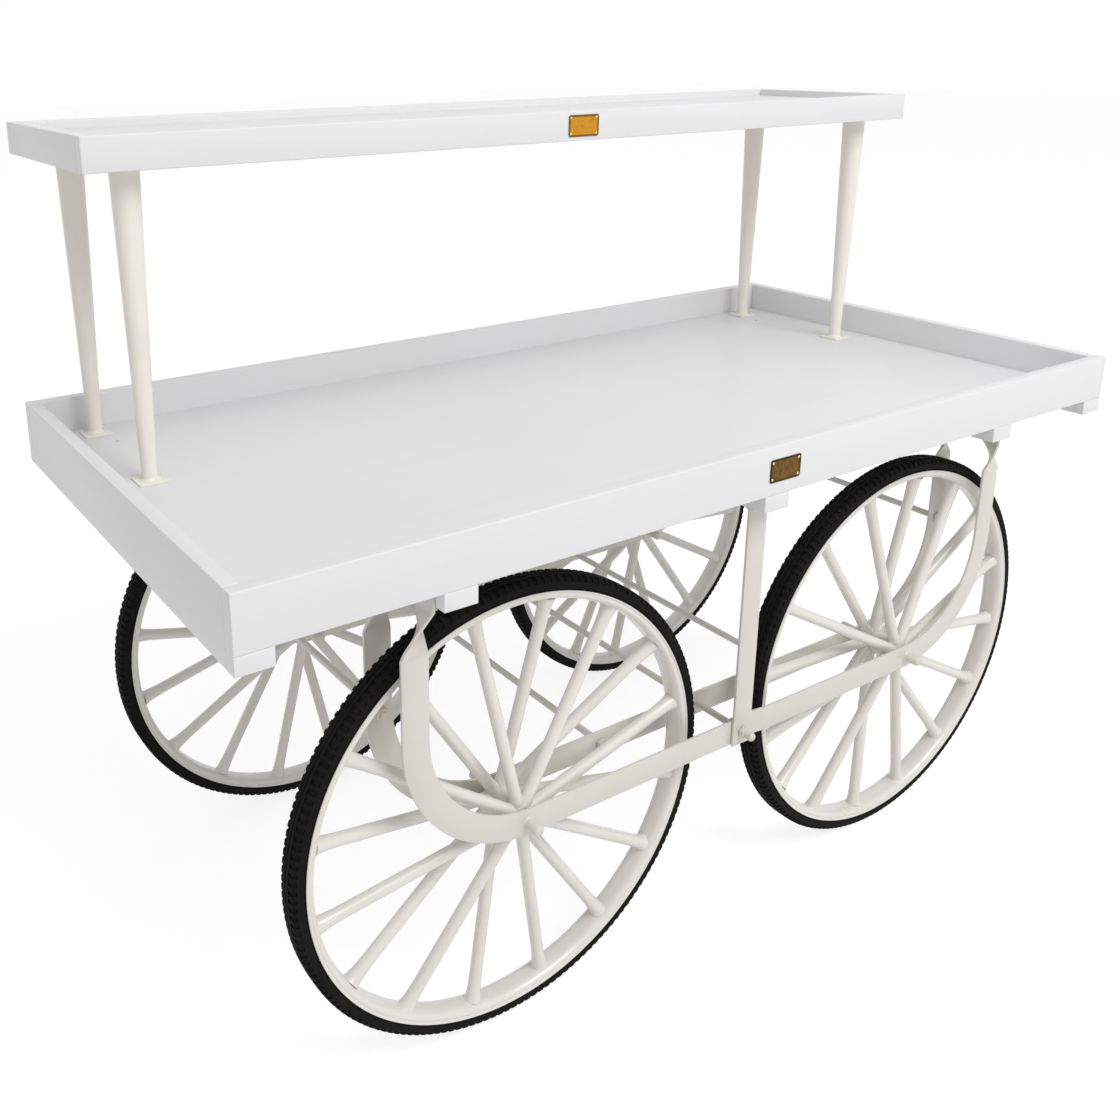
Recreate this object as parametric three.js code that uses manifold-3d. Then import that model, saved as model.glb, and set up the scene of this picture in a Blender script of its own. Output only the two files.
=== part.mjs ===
import * as THREE from 'three';
import { mergeVertices } from 'three/addons/utils/BufferGeometryUtils.js';
import Module from 'manifold-3d';

// Market display cart: a rimmed deck on four spoked wheels, with a rimmed shelf on four posts.
// Sizes are in millimetres. X runs along the deck, Y from front to rear, Z up from the floor.

// Clearances
const fitGap = 0.3;
const cutOverrun = 2;

// Wheels
const wheelRadius = 378;
const wheelGap = 138;
const tyreWidth = 40;
const tyreTreadWidth = 30;
const tyreStandOut = 22;
const tyreNeckRise = 2;
const tyreBulgeLowShare = 0.22;
const tyreBulgeHighShare = 0.68;
const rimWidth = 43;
const rimBaseWidth = 26;
const rimDepth = 16;
const rimLipDepth = 6;
const rimWall = 3;
const wheelFacets = 40;

// Spokes
const spokeCount = 16;
const spokeRadius = 10;
const spokeFlareRadius = 12.5;
const spokeFlareLength = 45;
const spokeRowInset = 12;
const spokeSink = 3;
const spokeSides = 8;
const leftWheelTurn = Math.PI / spokeCount;
const rightWheelTurn = leftWheelTurn + Math.PI / wheelFacets;

// Hubs, bushes and axles
const axleRadius = 9;
const axleOuterTail = 26.5;
const axleInnerTail = 42.5;
const bushWall = 4.5;
const bushProud = 9;
const hubWall = 7;
const roundFacets = 16;

// Flat steel bars that hang the wheels from the deck
const barWidth = 44;
const barThickness = 5;
const wheelSideClearance = 26;
const legReach = 196;
const bendRadius = 204;
const bendSteps = 10;
const twistLength = 70;
const twistSteps = 8;
const tabHeight = 35;
const tabInset = 18;
const lapReach = 22;
const joggleLength = 40;
const centrePostWidth = 41;
const centrePostTail = 24;
const centrePostFoot = 42;
const centrePostBendRadius = 8;
const centrePostBendSteps = 4;

// Cross rods and their nuts
const rodRadius = 6;
const lowerRodReach = 222;
const nutRadius = 10.5;
const nutThickness = 10;
const nutSides = 6;
const rodTail = 3;
const capNutRadius = 7.6;
const capNutLength = 26;
const capNutWall = 6;
const rodFacets = 12;

// Deck
const deckLength = 1830;
const deckWidth = 900;
const trackInset = 93;
const wheelToDeckGap = 63;
const deckPanelThickness = 22;
const deckRimHeight = 82;
const deckRimThickness = 22;
const battenWidth = 54;
const battenDepth = 27;

// Shelf and its posts
const shelfInset = 21;
const shelfWidth = 408;
const shelfRimHeight = 52;
const shelfRimThickness = 20;
const shelfRecess = 14;
const shelfPanelThickness = 18;
const shelfCleatWidth = 90;
const shelfSpace = 489;
const postInset = 101;
const postEdgeInset = 64;
const postFootRadius = 12;
const postTopRadius = 23;
const postWall = 2;
const postSpigotRadius = 9;
const postSpigotLength = 16;
const footPlateLength = 48;
const footPlateThickness = 3;
const footPlateVentRadius = 5;
const postFacets = 20;

// Name plates
const namePlateLength = 68;
const namePlateHeight = 38;
const namePlateThickness = 1.2;
const namePlateCorner = 4;
const namePlateCornerSteps = 3;
const deckNamePlateShift = 12;

// Finishes
const boardPaint = { color: 0xe6e6e7, roughness: 0.42, metalness: 0 };
const steelPaint = { color: 0xdcd9d0, roughness: 0.35, metalness: 0 };
const postPaint = { color: 0xe2dfd4, roughness: 0.38, metalness: 0 };
const tyreRubber = { color: 0x141414, roughness: 0.85, metalness: 0 };
const brightBrass = { color: 0xc8952e, roughness: 0.35, metalness: 1 };
const agedBrass = { color: 0x6b4f24, roughness: 0.45, metalness: 1 };
const bushNylon = { color: 0xe4e2da, roughness: 0.45, metalness: 0 };

// Heights worked out from the wheels up
const axleHeight = wheelRadius;
const deckUnderside = 2 * wheelRadius + wheelToDeckGap;
const deckFloor = deckUnderside + deckPanelThickness;
const battenUnderside = deckUnderside - battenDepth;
const shelfUnderside = deckFloor + shelfSpace;
const shelfRimTop = shelfUnderside + shelfRimHeight;
const shelfPanelTop = shelfRimTop - shelfRecess;
const shelfPanelUnderside = shelfPanelTop - shelfPanelThickness;

// Places across and along the deck
const deckHalfLength = deckLength / 2;
const deckHalfWidth = deckWidth / 2;
const wheelX = wheelRadius + wheelGap / 2;
const wheelY = deckHalfWidth - trackInset;
const barOffset = rimWidth / 2 + wheelSideClearance + barThickness / 2;
const outerBarY = wheelY + barOffset;
const innerBarY = wheelY - barOffset;
const legX = wheelX + legReach;
const tabX = legX - tabInset;
const barBattenX = tabX - barThickness / 2 - fitGap - battenWidth / 2;
const centrePostY = outerBarY + barThickness + fitGap;
const lapOffset = barThickness + fitGap;
const upperRodHeight = axleHeight + bendRadius;

// The three-dimensional boolean library
const wasm = await Module();
wasm.setup();

const cart = new THREE.Group();

// Hangs one named piece with a finish of its own on the cart or on a group in it
function addPiece(name, geometry, finish, parent = cart) {
  const mesh = new THREE.Mesh(geometry, new THREE.MeshStandardMaterial(finish));
  mesh.name = name;
  parent.add(mesh);
}

// Six times the volume that a closed surface holds, negative when its faces point in
function signedVolume(positions, index) {
  const corners = [new THREE.Vector3(), new THREE.Vector3(), new THREE.Vector3()];
  let total = 0;
  for (let start = 0; start < index.length; start += 3) {
    corners.forEach((corner, place) => corner.fromBufferAttribute(positions, index[start + place]));
    total += corners[0].dot(corners[1].cross(corners[2]));
  }
  return total;
}

// Welds the corners of a closed surface, drops faces without area and turns every face outwards
function closedBody(geometry) {
  const bare = new THREE.BufferGeometry();
  bare.setAttribute('position', geometry.getAttribute('position').clone());
  if (geometry.index) {
    bare.setIndex(geometry.index.clone());
  }
  const welded = mergeVertices(bare);
  const faces = [];
  for (let start = 0; start < welded.index.count; start += 3) {
    const face = [0, 1, 2].map((place) => welded.index.getX(start + place));
    if (new Set(face).size === 3) {
      faces.push(face);
    }
  }
  const inwards = signedVolume(welded.getAttribute('position'), faces.flat()) < 0;
  welded.setIndex(faces.map((face) => (inwards ? face.reverse() : face)).flat());
  return welded;
}

// The solid inside a closed surface
function solidOf(geometry) {
  return new wasm.Manifold(new wasm.Mesh({
    numProp: 3,
    vertProperties: geometry.getAttribute('position').array,
    triVerts: new Uint32Array(geometry.index.array),
  }));
}

// The surface of a solid
function surfaceOf(solid) {
  const mesh = solid.getMesh();
  const geometry = new THREE.BufferGeometry();
  geometry.setAttribute('position', new THREE.BufferAttribute(mesh.vertProperties, 3));
  geometry.setIndex(new THREE.BufferAttribute(mesh.triVerts, 1));
  return geometry;
}

// Joins bodies that are welded into one
function join(bodies) {
  return surfaceOf(bodies.map(solidOf).reduce((whole, solid) => whole.add(solid)));
}

// Takes the cutters away from a body
function cut(body, cutters) {
  return surfaceOf(cutters.map(solidOf).reduce((rest, cutter) => rest.subtract(cutter), solidOf(body)));
}

// A straight board between two opposite corners
function board(low, high) {
  const size = high.map((value, axis) => value - low[axis]);
  const centre = high.map((value, axis) => (value + low[axis]) / 2);
  return closedBody(new THREE.BoxGeometry(...size).translate(...centre));
}

// A round bar between two places on one axis ('x', 'y' or 'z'), at the other two coordinates of a point
function roundBar(radius, facets, axis, from, to, point) {
  const bar = new THREE.CylinderGeometry(radius, radius, Math.abs(to - from), facets);
  bar.rotateY(Math.PI / facets);
  if (axis === 'x') {
    bar.rotateZ(Math.PI / 2);
  }
  if (axis === 'z') {
    bar.rotateX(Math.PI / 2);
  }
  const place = new THREE.Vector3(...point);
  place[axis] = (from + to) / 2;
  return closedBody(bar.translate(place.x, place.y, place.z));
}

// The corner radius of a faceted hole whose flats stand this far from its axis
function holeRadius(flatRadius, facets) {
  return flatRadius / Math.cos(Math.PI / facets);
}

// A ring or disc turned about the Y axis from points given as [radius, y]
function turned(points, facets) {
  const profile = points.map(([radius, y]) => new THREE.Vector2(radius, y));
  return closedBody(new THREE.LatheGeometry(profile, facets, Math.PI / facets));
}

// A tube about the Y axis, centred on the origin
function tube(innerRadius, outerRadius, length, facets) {
  const half = length / 2;
  const points = [
    [innerRadius, -half],
    [outerRadius, -half],
    [outerRadius, half],
    [innerRadius, half],
    [innerRadius, -half],
  ];
  return turned(points, facets);
}

// A closed skin through rings that all have the same number of corners
function skin(rings) {
  const sides = rings[0].length;
  const corners = rings.flat().flatMap((corner) => [corner.x, corner.y, corner.z]);
  const faces = [];
  for (let ring = 0; ring < rings.length - 1; ring += 1) {
    for (let side = 0; side < sides; side += 1) {
      const here = ring * sides + side;
      const next = ring * sides + (side + 1) % sides;
      faces.push(here, next, next + sides);
      faces.push(here, next + sides, here + sides);
    }
  }
  const last = (rings.length - 1) * sides;
  for (let side = 1; side < sides - 1; side += 1) {
    faces.push(0, side + 1, side);
    faces.push(last, last + side, last + side + 1);
  }
  const geometry = new THREE.BufferGeometry();
  geometry.setAttribute('position', new THREE.Float32BufferAttribute(corners, 3));
  geometry.setIndex(faces);
  return closedBody(geometry);
}

// The four corners of a flat bar where its broad side lies along one direction and its edge along another
function barSection(centre, broad, edge, width) {
  const wide = broad.clone().multiplyScalar(width / 2);
  const thin = edge.clone().multiplyScalar(barThickness / 2);
  return [
    centre.clone().add(wide).add(thin),
    centre.clone().add(wide).sub(thin),
    centre.clone().sub(wide).sub(thin),
    centre.clone().sub(wide).add(thin),
  ];
}

// Moves rings made for the right-hand, rear quarter of the cart to another quarter
function toQuarter(rings, sideX, sideY) {
  const mirror = new THREE.Vector3(sideX, sideY, 1);
  return rings.map((ring) => ring.map((corner) => corner.clone().multiply(mirror)));
}

// The deck: a panel inside four rim boards, on five cross battens
function addDeck() {
  const rimTop = deckUnderside + deckRimHeight;
  const innerX = deckHalfLength - deckRimThickness;
  const innerY = deckHalfWidth - deckRimThickness;
  addPiece('deck_panel', board([-innerX, -innerY, deckUnderside], [innerX, innerY, deckFloor]), boardPaint);
  const rims = {
    deck_front_rim: [[-deckHalfLength, -deckHalfWidth], [deckHalfLength, -innerY]],
    deck_rear_rim: [[-deckHalfLength, innerY], [deckHalfLength, deckHalfWidth]],
    deck_left_rim: [[-deckHalfLength, -innerY], [-innerX, innerY]],
    deck_right_rim: [[innerX, -innerY], [deckHalfLength, innerY]],
  };
  for (const [name, [low, high]] of Object.entries(rims)) {
    addPiece(name, board([...low, deckUnderside], [...high, rimTop]), boardPaint);
  }
  const battenPlaces = {
    cross_batten_left_end: -deckHalfLength + battenWidth / 2,
    cross_batten_left: -barBattenX,
    cross_batten_centre: 0,
    cross_batten_right: barBattenX,
    cross_batten_right_end: deckHalfLength - battenWidth / 2,
  };
  for (const [name, x] of Object.entries(battenPlaces)) {
    const low = [x - battenWidth / 2, -deckHalfWidth, battenUnderside];
    const high = [x + battenWidth / 2, deckHalfWidth, deckUnderside];
    addPiece(name, board(low, high), boardPaint);
  }
}

// The shelf: a shallow tray with cleats under its panel, flush with the deck's rear edge
const shelfHalfLength = deckHalfLength - shelfInset;
const shelfRear = deckHalfWidth;
const shelfFront = shelfRear - shelfWidth;
const postX = deckHalfLength - postInset;
const postPlaces = {
  front_left: [-postX, shelfFront + postEdgeInset],
  front_right: [postX, shelfFront + postEdgeInset],
  rear_left: [-postX, shelfRear - postEdgeInset],
  rear_right: [postX, shelfRear - postEdgeInset],
};

function addShelf() {
  const innerX = shelfHalfLength - shelfRimThickness;
  const innerFront = shelfFront + shelfRimThickness;
  const innerRear = shelfRear - shelfRimThickness;
  const panel = board([-innerX, innerFront, shelfPanelUnderside], [innerX, innerRear, shelfPanelTop]);
  addPiece('shelf_panel', panel, boardPaint);
  const rims = {
    shelf_front_rim: [[-shelfHalfLength, shelfFront], [shelfHalfLength, innerFront]],
    shelf_rear_rim: [[-shelfHalfLength, innerRear], [shelfHalfLength, shelfRear]],
    shelf_left_rim: [[-shelfHalfLength, innerFront], [-innerX, innerRear]],
    shelf_right_rim: [[innerX, innerFront], [shelfHalfLength, innerRear]],
  };
  for (const [name, [low, high]] of Object.entries(rims)) {
    addPiece(name, board([...low, shelfUnderside], [...high, shelfRimTop]), boardPaint);
  }
  const boreRadius = holeRadius(postSpigotRadius + fitGap, roundFacets);
  const boreFoot = shelfUnderside - cutOverrun;
  const boreTop = shelfPanelUnderside + cutOverrun;
  const cleatPlaces = { shelf_cleat_left: -postX, shelf_cleat_centre: 0, shelf_cleat_right: postX };
  for (const [name, x] of Object.entries(cleatPlaces)) {
    const low = [x - shelfCleatWidth / 2, innerFront, shelfUnderside];
    const high = [x + shelfCleatWidth / 2, innerRear, shelfPanelUnderside];
    const bores = Object.values(postPlaces)
      .filter(([placeX]) => placeX === x)
      .map((place) => roundBar(boreRadius, roundFacets, 'z', boreFoot, boreTop, [...place, 0]));
    addPiece(name, cut(board(low, high), bores), boardPaint);
  }
}

// A hollow post that widens upwards to a spigot, welded to a foot plate with a vent hole
function addPosts() {
  const plateTop = deckFloor + footPlateThickness;
  const foot = deckFloor + footPlateThickness / 2;
  const top = shelfUnderside - fitGap;
  const spigotTop = top + postSpigotLength;
  const profile = [
    [0, spigotTop],
    [postSpigotRadius, spigotTop],
    [postSpigotRadius, top],
    [postTopRadius, top],
    [postFootRadius, foot],
    [postFootRadius - postWall, foot],
    [postTopRadius - postWall, top - postWall],
    [0, top - postWall],
  ];
  const halfPlate = footPlateLength / 2;
  for (const [name, [x, y]] of Object.entries(postPlaces)) {
    const tube = closedBody(turned(profile, postFacets).rotateX(Math.PI / 2).translate(x, y, 0));
    const plate = board([x - halfPlate, y - halfPlate, deckFloor], [x + halfPlate, y + halfPlate, plateTop]);
    const ventFoot = deckFloor - cutOverrun;
    const ventTop = plateTop + cutOverrun;
    const vent = roundBar(footPlateVentRadius, rodFacets, 'z', ventFoot, ventTop, [x, y, 0]);
    addPiece(`shelf_post_${name}`, join([tube, cut(plate, [vent])]), postPaint);
  }
}

// The rings of a side bar from the middle of the cart outwards, up the bend, the leg, the twist, which also
// brings the bar in to its batten, slowly at first, and the tab. All bars are twisted in one sense, so a
// mirrored one starts from the opposite sense
function legRings(y, twistSense) {
  const along = new THREE.Vector3(1, 0, 0);
  const across = new THREE.Vector3(0, 1, 0);
  const up = new THREE.Vector3(0, 0, 1);
  const bendX = legX - bendRadius;
  const tabTop = deckUnderside - fitGap;
  const twistTop = tabTop - tabHeight;
  const twistFoot = twistTop - twistLength;
  const rings = [];
  const addTurnedRing = (x, z, share) => {
    const turn = twistSense * share * (Math.PI / 2);
    const broad = along.clone().applyAxisAngle(up, turn);
    const edge = across.clone().applyAxisAngle(up, turn);
    rings.push(barSection(new THREE.Vector3(x, y, z), broad, edge, barWidth));
  };
  for (let step = 0; step <= bendSteps; step += 1) {
    const angle = (step / bendSteps) * (Math.PI / 2);
    const inwards = new THREE.Vector3(-Math.sin(angle), 0, Math.cos(angle));
    const centre = new THREE.Vector3(bendX, y, axleHeight + bendRadius);
    centre.addScaledVector(inwards, -bendRadius);
    rings.push(barSection(centre, inwards.negate(), across, barWidth));
  }
  for (let step = 0; step <= twistSteps; step += 1) {
    const share = step / twistSteps;
    addTurnedRing(legX - share ** 2 * tabInset, twistFoot + share * twistLength, share);
  }
  addTurnedRing(tabX, tabTop, 1);
  return rings;
}

// A ring of a side bar's level run, in line with the first ring of its bend
function levelRing(x, y) {
  const down = new THREE.Vector3(0, 0, -1);
  const across = new THREE.Vector3(0, 1, 0);
  return barSection(new THREE.Vector3(x, y, axleHeight), down, across, barWidth);
}

// A hole through the bars, along Y, at a height
function barHole(radius, x, y, height) {
  const reach = barThickness / 2 + cutOverrun;
  return roundBar(holeRadius(radius + fitGap, roundFacets), roundFacets, 'y', y - reach, y + reach, [x, 0, height]);
}

// Outer bars run from behind the centre post to their own leg; the right-hand ones lap behind the left-hand ones
function addOuterBars() {
  const ends = [['front', -1], ['rear', 1]];
  const sides = [['left', -1, 0], ['right', 1, lapOffset]];
  for (const [endName, sideY] of ends) {
    for (const [sideName, sideX, offset] of sides) {
      const lapY = outerBarY - offset;
      const rings = [levelRing(-lapReach, lapY), levelRing(lapReach, lapY)];
      if (offset !== 0) {
        rings.push(levelRing(lapReach + joggleLength, outerBarY));
      }
      rings.push(...legRings(outerBarY, sideX * sideY));
      const bar = skin(toQuarter(rings, sideX, sideY));
      const holes = [
        barHole(rodRadius, 0, sideY * lapY, axleHeight),
        barHole(axleRadius, sideX * wheelX, sideY * outerBarY, axleHeight),
      ];
      addPiece(`outer_side_bar_${endName}_${sideName}`, cut(bar, holes), steelPaint);
    }
  }
}

// Each inner bar is one length, bent up at both ends
function addInnerBars() {
  for (const [endName, sideY] of [['front', -1], ['rear', 1]]) {
    const right = toQuarter(legRings(innerBarY, sideY), 1, sideY);
    const left = toQuarter(legRings(innerBarY, -sideY), -1, sideY).reverse();
    const bar = skin([...left, ...right]);
    const y = sideY * innerBarY;
    const holes = [barHole(rodRadius, 0, y, axleHeight)];
    for (const sideX of [-1, 1]) {
      holes.push(barHole(axleRadius, sideX * wheelX, y, axleHeight));
      holes.push(barHole(rodRadius, sideX * lowerRodReach, y, axleHeight));
      holes.push(barHole(rodRadius, sideX * legX, y, upperRodHeight));
    }
    addPiece(`inner_side_bar_${endName}`, cut(bar, holes), steelPaint);
  }
}

// A centre post is a flat bar with a foot bent inwards under the middle batten
function addCentrePosts() {
  const along = new THREE.Vector3(1, 0, 0);
  const across = new THREE.Vector3(0, 1, 0);
  const down = new THREE.Vector3(0, 0, -1);
  const footHeight = battenUnderside - fitGap - barThickness / 2;
  const bend = centrePostBendRadius;
  const rings = [];
  const footEnd = new THREE.Vector3(0, centrePostY - centrePostFoot, footHeight);
  rings.push(barSection(footEnd, along, down, centrePostWidth));
  for (let step = 0; step <= centrePostBendSteps; step += 1) {
    const angle = (step / centrePostBendSteps) * (Math.PI / 2);
    const outwards = new THREE.Vector3(0, Math.sin(angle), Math.cos(angle));
    const centre = new THREE.Vector3(0, centrePostY - bend, footHeight - bend);
    centre.addScaledVector(outwards, bend);
    rings.push(barSection(centre, along, outwards.negate(), centrePostWidth));
  }
  const tail = new THREE.Vector3(0, centrePostY, axleHeight - centrePostTail);
  rings.push(barSection(tail, along, across.negate(), centrePostWidth));
  for (const [name, sideY] of [['front', -1], ['rear', 1]]) {
    const post = skin(toQuarter(rings, 1, sideY));
    const hole = barHole(rodRadius, 0, sideY * centrePostY, axleHeight);
    addPiece(`centre_post_${name}`, cut(post, [hole]), steelPaint);
  }
}

// A hexagon nut about an axis along Y
function hexagonNut(x, y, z) {
  const nut = new THREE.CylinderGeometry(nutRadius, nutRadius, nutThickness, nutSides);
  return closedBody(nut.translate(x, y, z));
}

// A rod that ties the front and rear inner bars together, with a nut on each end
function boltedRod(x, z) {
  const nutFace = innerBarY + barThickness / 2 + fitGap;
  const reach = nutFace + nutThickness + rodTail;
  const rod = roundBar(rodRadius, rodFacets, 'y', -reach, reach, [x, 0, z]);
  const nuts = [-1, 1].map((sideY) => hexagonNut(x, sideY * (nutFace + nutThickness / 2), z));
  return join([rod, ...nuts]);
}

// Four bolted rods, and one right through the middle with a domed cap nut on each end
function addCrossRods() {
  addPiece('upper_cross_rod_left', boltedRod(-legX, upperRodHeight), steelPaint);
  addPiece('upper_cross_rod_right', boltedRod(legX, upperRodHeight), steelPaint);
  addPiece('lower_cross_rod_left', boltedRod(-lowerRodReach, axleHeight), steelPaint);
  addPiece('lower_cross_rod_right', boltedRod(lowerRodReach, axleHeight), steelPaint);

  const capSeat = centrePostY + barThickness / 2 + fitGap;
  const boreLength = capNutLength - capNutWall;
  const throughReach = capSeat + boreLength - fitGap;
  const through = roundBar(rodRadius, rodFacets, 'y', -throughReach, throughReach, [0, 0, axleHeight]);
  addPiece('lower_cross_rod_centre', through, steelPaint);

  const boreRadius = holeRadius(rodRadius + fitGap, rodFacets);
  for (const [name, sideY] of [['front', -1], ['rear', 1]]) {
    const seat = sideY * capSeat;
    const mouth = seat - sideY * cutOverrun;
    const boreEnd = seat + sideY * boreLength;
    const end = seat + sideY * capNutLength;
    const hexagonMiddle = seat + sideY * (nutThickness / 2);
    const hexagon = hexagonNut(0, hexagonMiddle, axleHeight);
    const cap = roundBar(capNutRadius, rodFacets, 'y', hexagonMiddle, end, [0, 0, axleHeight]);
    const bore = roundBar(boreRadius, rodFacets, 'y', mouth, boreEnd, [0, 0, axleHeight]);
    addPiece(`cap_nut_${name}`, cut(join([hexagon, cap]), [bore]), steelPaint);
  }
}

// A stub axle reaches through both bars of its wheel
const bushHalf = barOffset - barThickness / 2 - fitGap;
const hubEnd = bushHalf - bushProud;
const axleOuterEnd = outerBarY + barThickness / 2 + axleOuterTail;
const axleInnerEnd = innerBarY - barThickness / 2 - axleInnerTail;
const wheelPlaces = {
  front_left: [-1, -1, leftWheelTurn],
  front_right: [1, -1, rightWheelTurn],
  rear_left: [-1, 1, leftWheelTurn],
  rear_right: [1, 1, rightWheelTurn],
};

function addAxles() {
  for (const [name, [sideX, sideY]] of Object.entries(wheelPlaces)) {
    const place = [sideX * wheelX, 0, axleHeight];
    const axle = roundBar(axleRadius, roundFacets, 'y', sideY * axleInnerEnd, sideY * axleOuterEnd, place);
    addPiece(`axle_${name}`, axle, steelPaint);
  }
}

// Wheel sections, as radius and distance from the wheel's middle plane
const rimOuterRadius = wheelRadius - tyreStandOut;
const rimInnerRadius = rimOuterRadius - rimDepth;
const rimShoulderRadius = rimOuterRadius - rimLipDepth;
const tyreSeatRadius = rimInnerRadius + rimWall;
const bushInnerRadius = holeRadius(axleRadius + fitGap, roundFacets);
const bushOuterRadius = bushInnerRadius + bushWall;
const hubInnerRadius = bushOuterRadius + fitGap;
const hubRadius = hubInnerRadius + hubWall;

function tyreProfile() {
  const facetStretch = 1 / Math.cos(Math.PI / wheelFacets);
  const seatHalf = rimBaseWidth / 2 - rimWall;
  const shoulderHalf = rimWidth / 2 - rimWall - fitGap;
  const neck = rimOuterRadius + tyreNeckRise;
  const bulgeLow = neck + (wheelRadius - neck) * tyreBulgeLowShare;
  const bulgeHigh = neck + (wheelRadius - neck) * tyreBulgeHighShare;
  const half = [
    [tyreSeatRadius + fitGap, seatHalf],
    [rimShoulderRadius + rimWall, shoulderHalf],
    [neck, shoulderHalf],
    [bulgeLow, tyreWidth / 2],
    [bulgeHigh, tyreWidth / 2],
    [wheelRadius, tyreTreadWidth / 2],
  ].map(([radius, y]) => [radius * facetStretch, y]);
  const mirrored = half.map(([radius, y]) => [radius, -y]).reverse();
  return [...half, ...mirrored, half[0]];
}

function rimProfile() {
  const facetStretch = 1 / Math.cos(Math.PI / wheelFacets);
  const outerHalf = rimWidth / 2;
  const innerHalf = outerHalf - rimWall;
  const baseHalf = rimBaseWidth / 2;
  const half = [
    [rimInnerRadius, baseHalf],
    [rimShoulderRadius, outerHalf],
    [rimOuterRadius, outerHalf],
    [rimOuterRadius, innerHalf],
    [rimShoulderRadius + fitGap, innerHalf],
    [tyreSeatRadius, baseHalf - fitGap],
  ].map(([radius, y]) => [radius * facetStretch, y]);
  const mirrored = half.map(([radius, y]) => [radius, -y]).reverse();
  return [...half, ...mirrored, half[0]];
}

// One spoke, from its row on the hub to the middle of the rim, flared where it meets the rim
function spoke(angle, rowY) {
  const outwards = new THREE.Vector3(Math.cos(angle), 0, Math.sin(angle));
  const sideways = new THREE.Vector3(-Math.sin(angle), 0, Math.cos(angle));
  const start = hubRadius - spokeSink;
  const end = rimInnerRadius - fitGap;
  const flareStart = end - spokeFlareLength;
  const ringAt = (reach, radius) => {
    const centre = outwards.clone().multiplyScalar(reach);
    centre.y = rowY * (end - reach) / (end - start);
    return Array.from({ length: spokeSides }, (_, side) => {
      const turn = (side / spokeSides) * 2 * Math.PI;
      const corner = centre.clone().addScaledVector(sideways, radius * Math.cos(turn));
      corner.y += radius * Math.sin(turn);
      return corner;
    });
  };
  return skin([ringAt(start, spokeRadius), ringAt(flareStart, spokeRadius), ringAt(end, spokeFlareRadius)]);
}

function addWheels() {
  for (const [name, [sideX, sideY, turn]] of Object.entries(wheelPlaces)) {
    const wheel = new THREE.Group();
    wheel.position.set(sideX * wheelX, sideY * wheelY, axleHeight);
    cart.add(wheel);
    const rowY = sideY * (hubEnd - spokeRowInset);
    const spokes = Array.from({ length: spokeCount }, (_, place) => {
      const angle = turn + (place / spokeCount) * 2 * Math.PI;
      return spoke(angle, place % 2 === 0 ? rowY : -rowY);
    });
    const hub = tube(hubInnerRadius, hubRadius, 2 * hubEnd, roundFacets);
    const bush = tube(bushInnerRadius, bushOuterRadius, 2 * bushHalf, roundFacets);
    addPiece(`wheel_${name}_tyre`, turned(tyreProfile(), wheelFacets), tyreRubber, wheel);
    addPiece(`wheel_${name}_rim`, turned(rimProfile(), wheelFacets), steelPaint, wheel);
    addPiece(`wheel_${name}_hub_and_spokes`, join([hub, ...spokes]), steelPaint, wheel);
    addPiece(`wheel_${name}_bush`, bush, bushNylon, wheel);
  }
}

// Bare name plates on the two front rims
function addNamePlates() {
  const halfLength = namePlateLength / 2;
  const halfHeight = namePlateHeight / 2;
  const corner = namePlateCorner;
  const outline = new THREE.Shape();
  outline.moveTo(-halfLength + corner, -halfHeight);
  outline.lineTo(halfLength - corner, -halfHeight);
  outline.absarc(halfLength - corner, -halfHeight + corner, corner, -Math.PI / 2, 0);
  outline.lineTo(halfLength, halfHeight - corner);
  outline.absarc(halfLength - corner, halfHeight - corner, corner, 0, Math.PI / 2);
  outline.lineTo(-halfLength + corner, halfHeight);
  outline.absarc(-halfLength + corner, halfHeight - corner, corner, Math.PI / 2, Math.PI);
  outline.lineTo(-halfLength, -halfHeight + corner);
  outline.absarc(-halfLength + corner, -halfHeight + corner, corner, Math.PI, 1.5 * Math.PI);
  const options = { depth: namePlateThickness, bevelEnabled: false, curveSegments: namePlateCornerSteps };
  const plates = [
    ['deck_name_plate', deckNamePlateShift, -deckHalfWidth, deckUnderside + deckRimHeight / 2, agedBrass],
    ['shelf_name_plate', 0, shelfFront, shelfUnderside + shelfRimHeight / 2, brightBrass],
  ];
  for (const [name, x, face, height, finish] of plates) {
    const plate = new THREE.ExtrudeGeometry(outline, options).rotateX(Math.PI / 2).translate(x, face, height);
    addPiece(name, closedBody(plate), finish);
  }
}

addDeck();
addShelf();
addPosts();
addOuterBars();
addInnerBars();
addCentrePosts();
addCrossRods();
addAxles();
addWheels();
addNamePlates();

export default cart;
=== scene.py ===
"""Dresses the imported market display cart: boards, posts, side frames, wheels, plates, screws and studio.

Sizes are in metres. X runs along the deck, Y from front to rear, Z up from the floor.
"""

from __future__ import annotations

import logging
import math
from collections.abc import Callable, Iterator, Sequence
from contextlib import contextmanager
from dataclasses import dataclass, field
from enum import Enum
from itertools import pairwise, product

import bmesh
import bpy
from mathutils import Matrix, Vector

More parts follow.
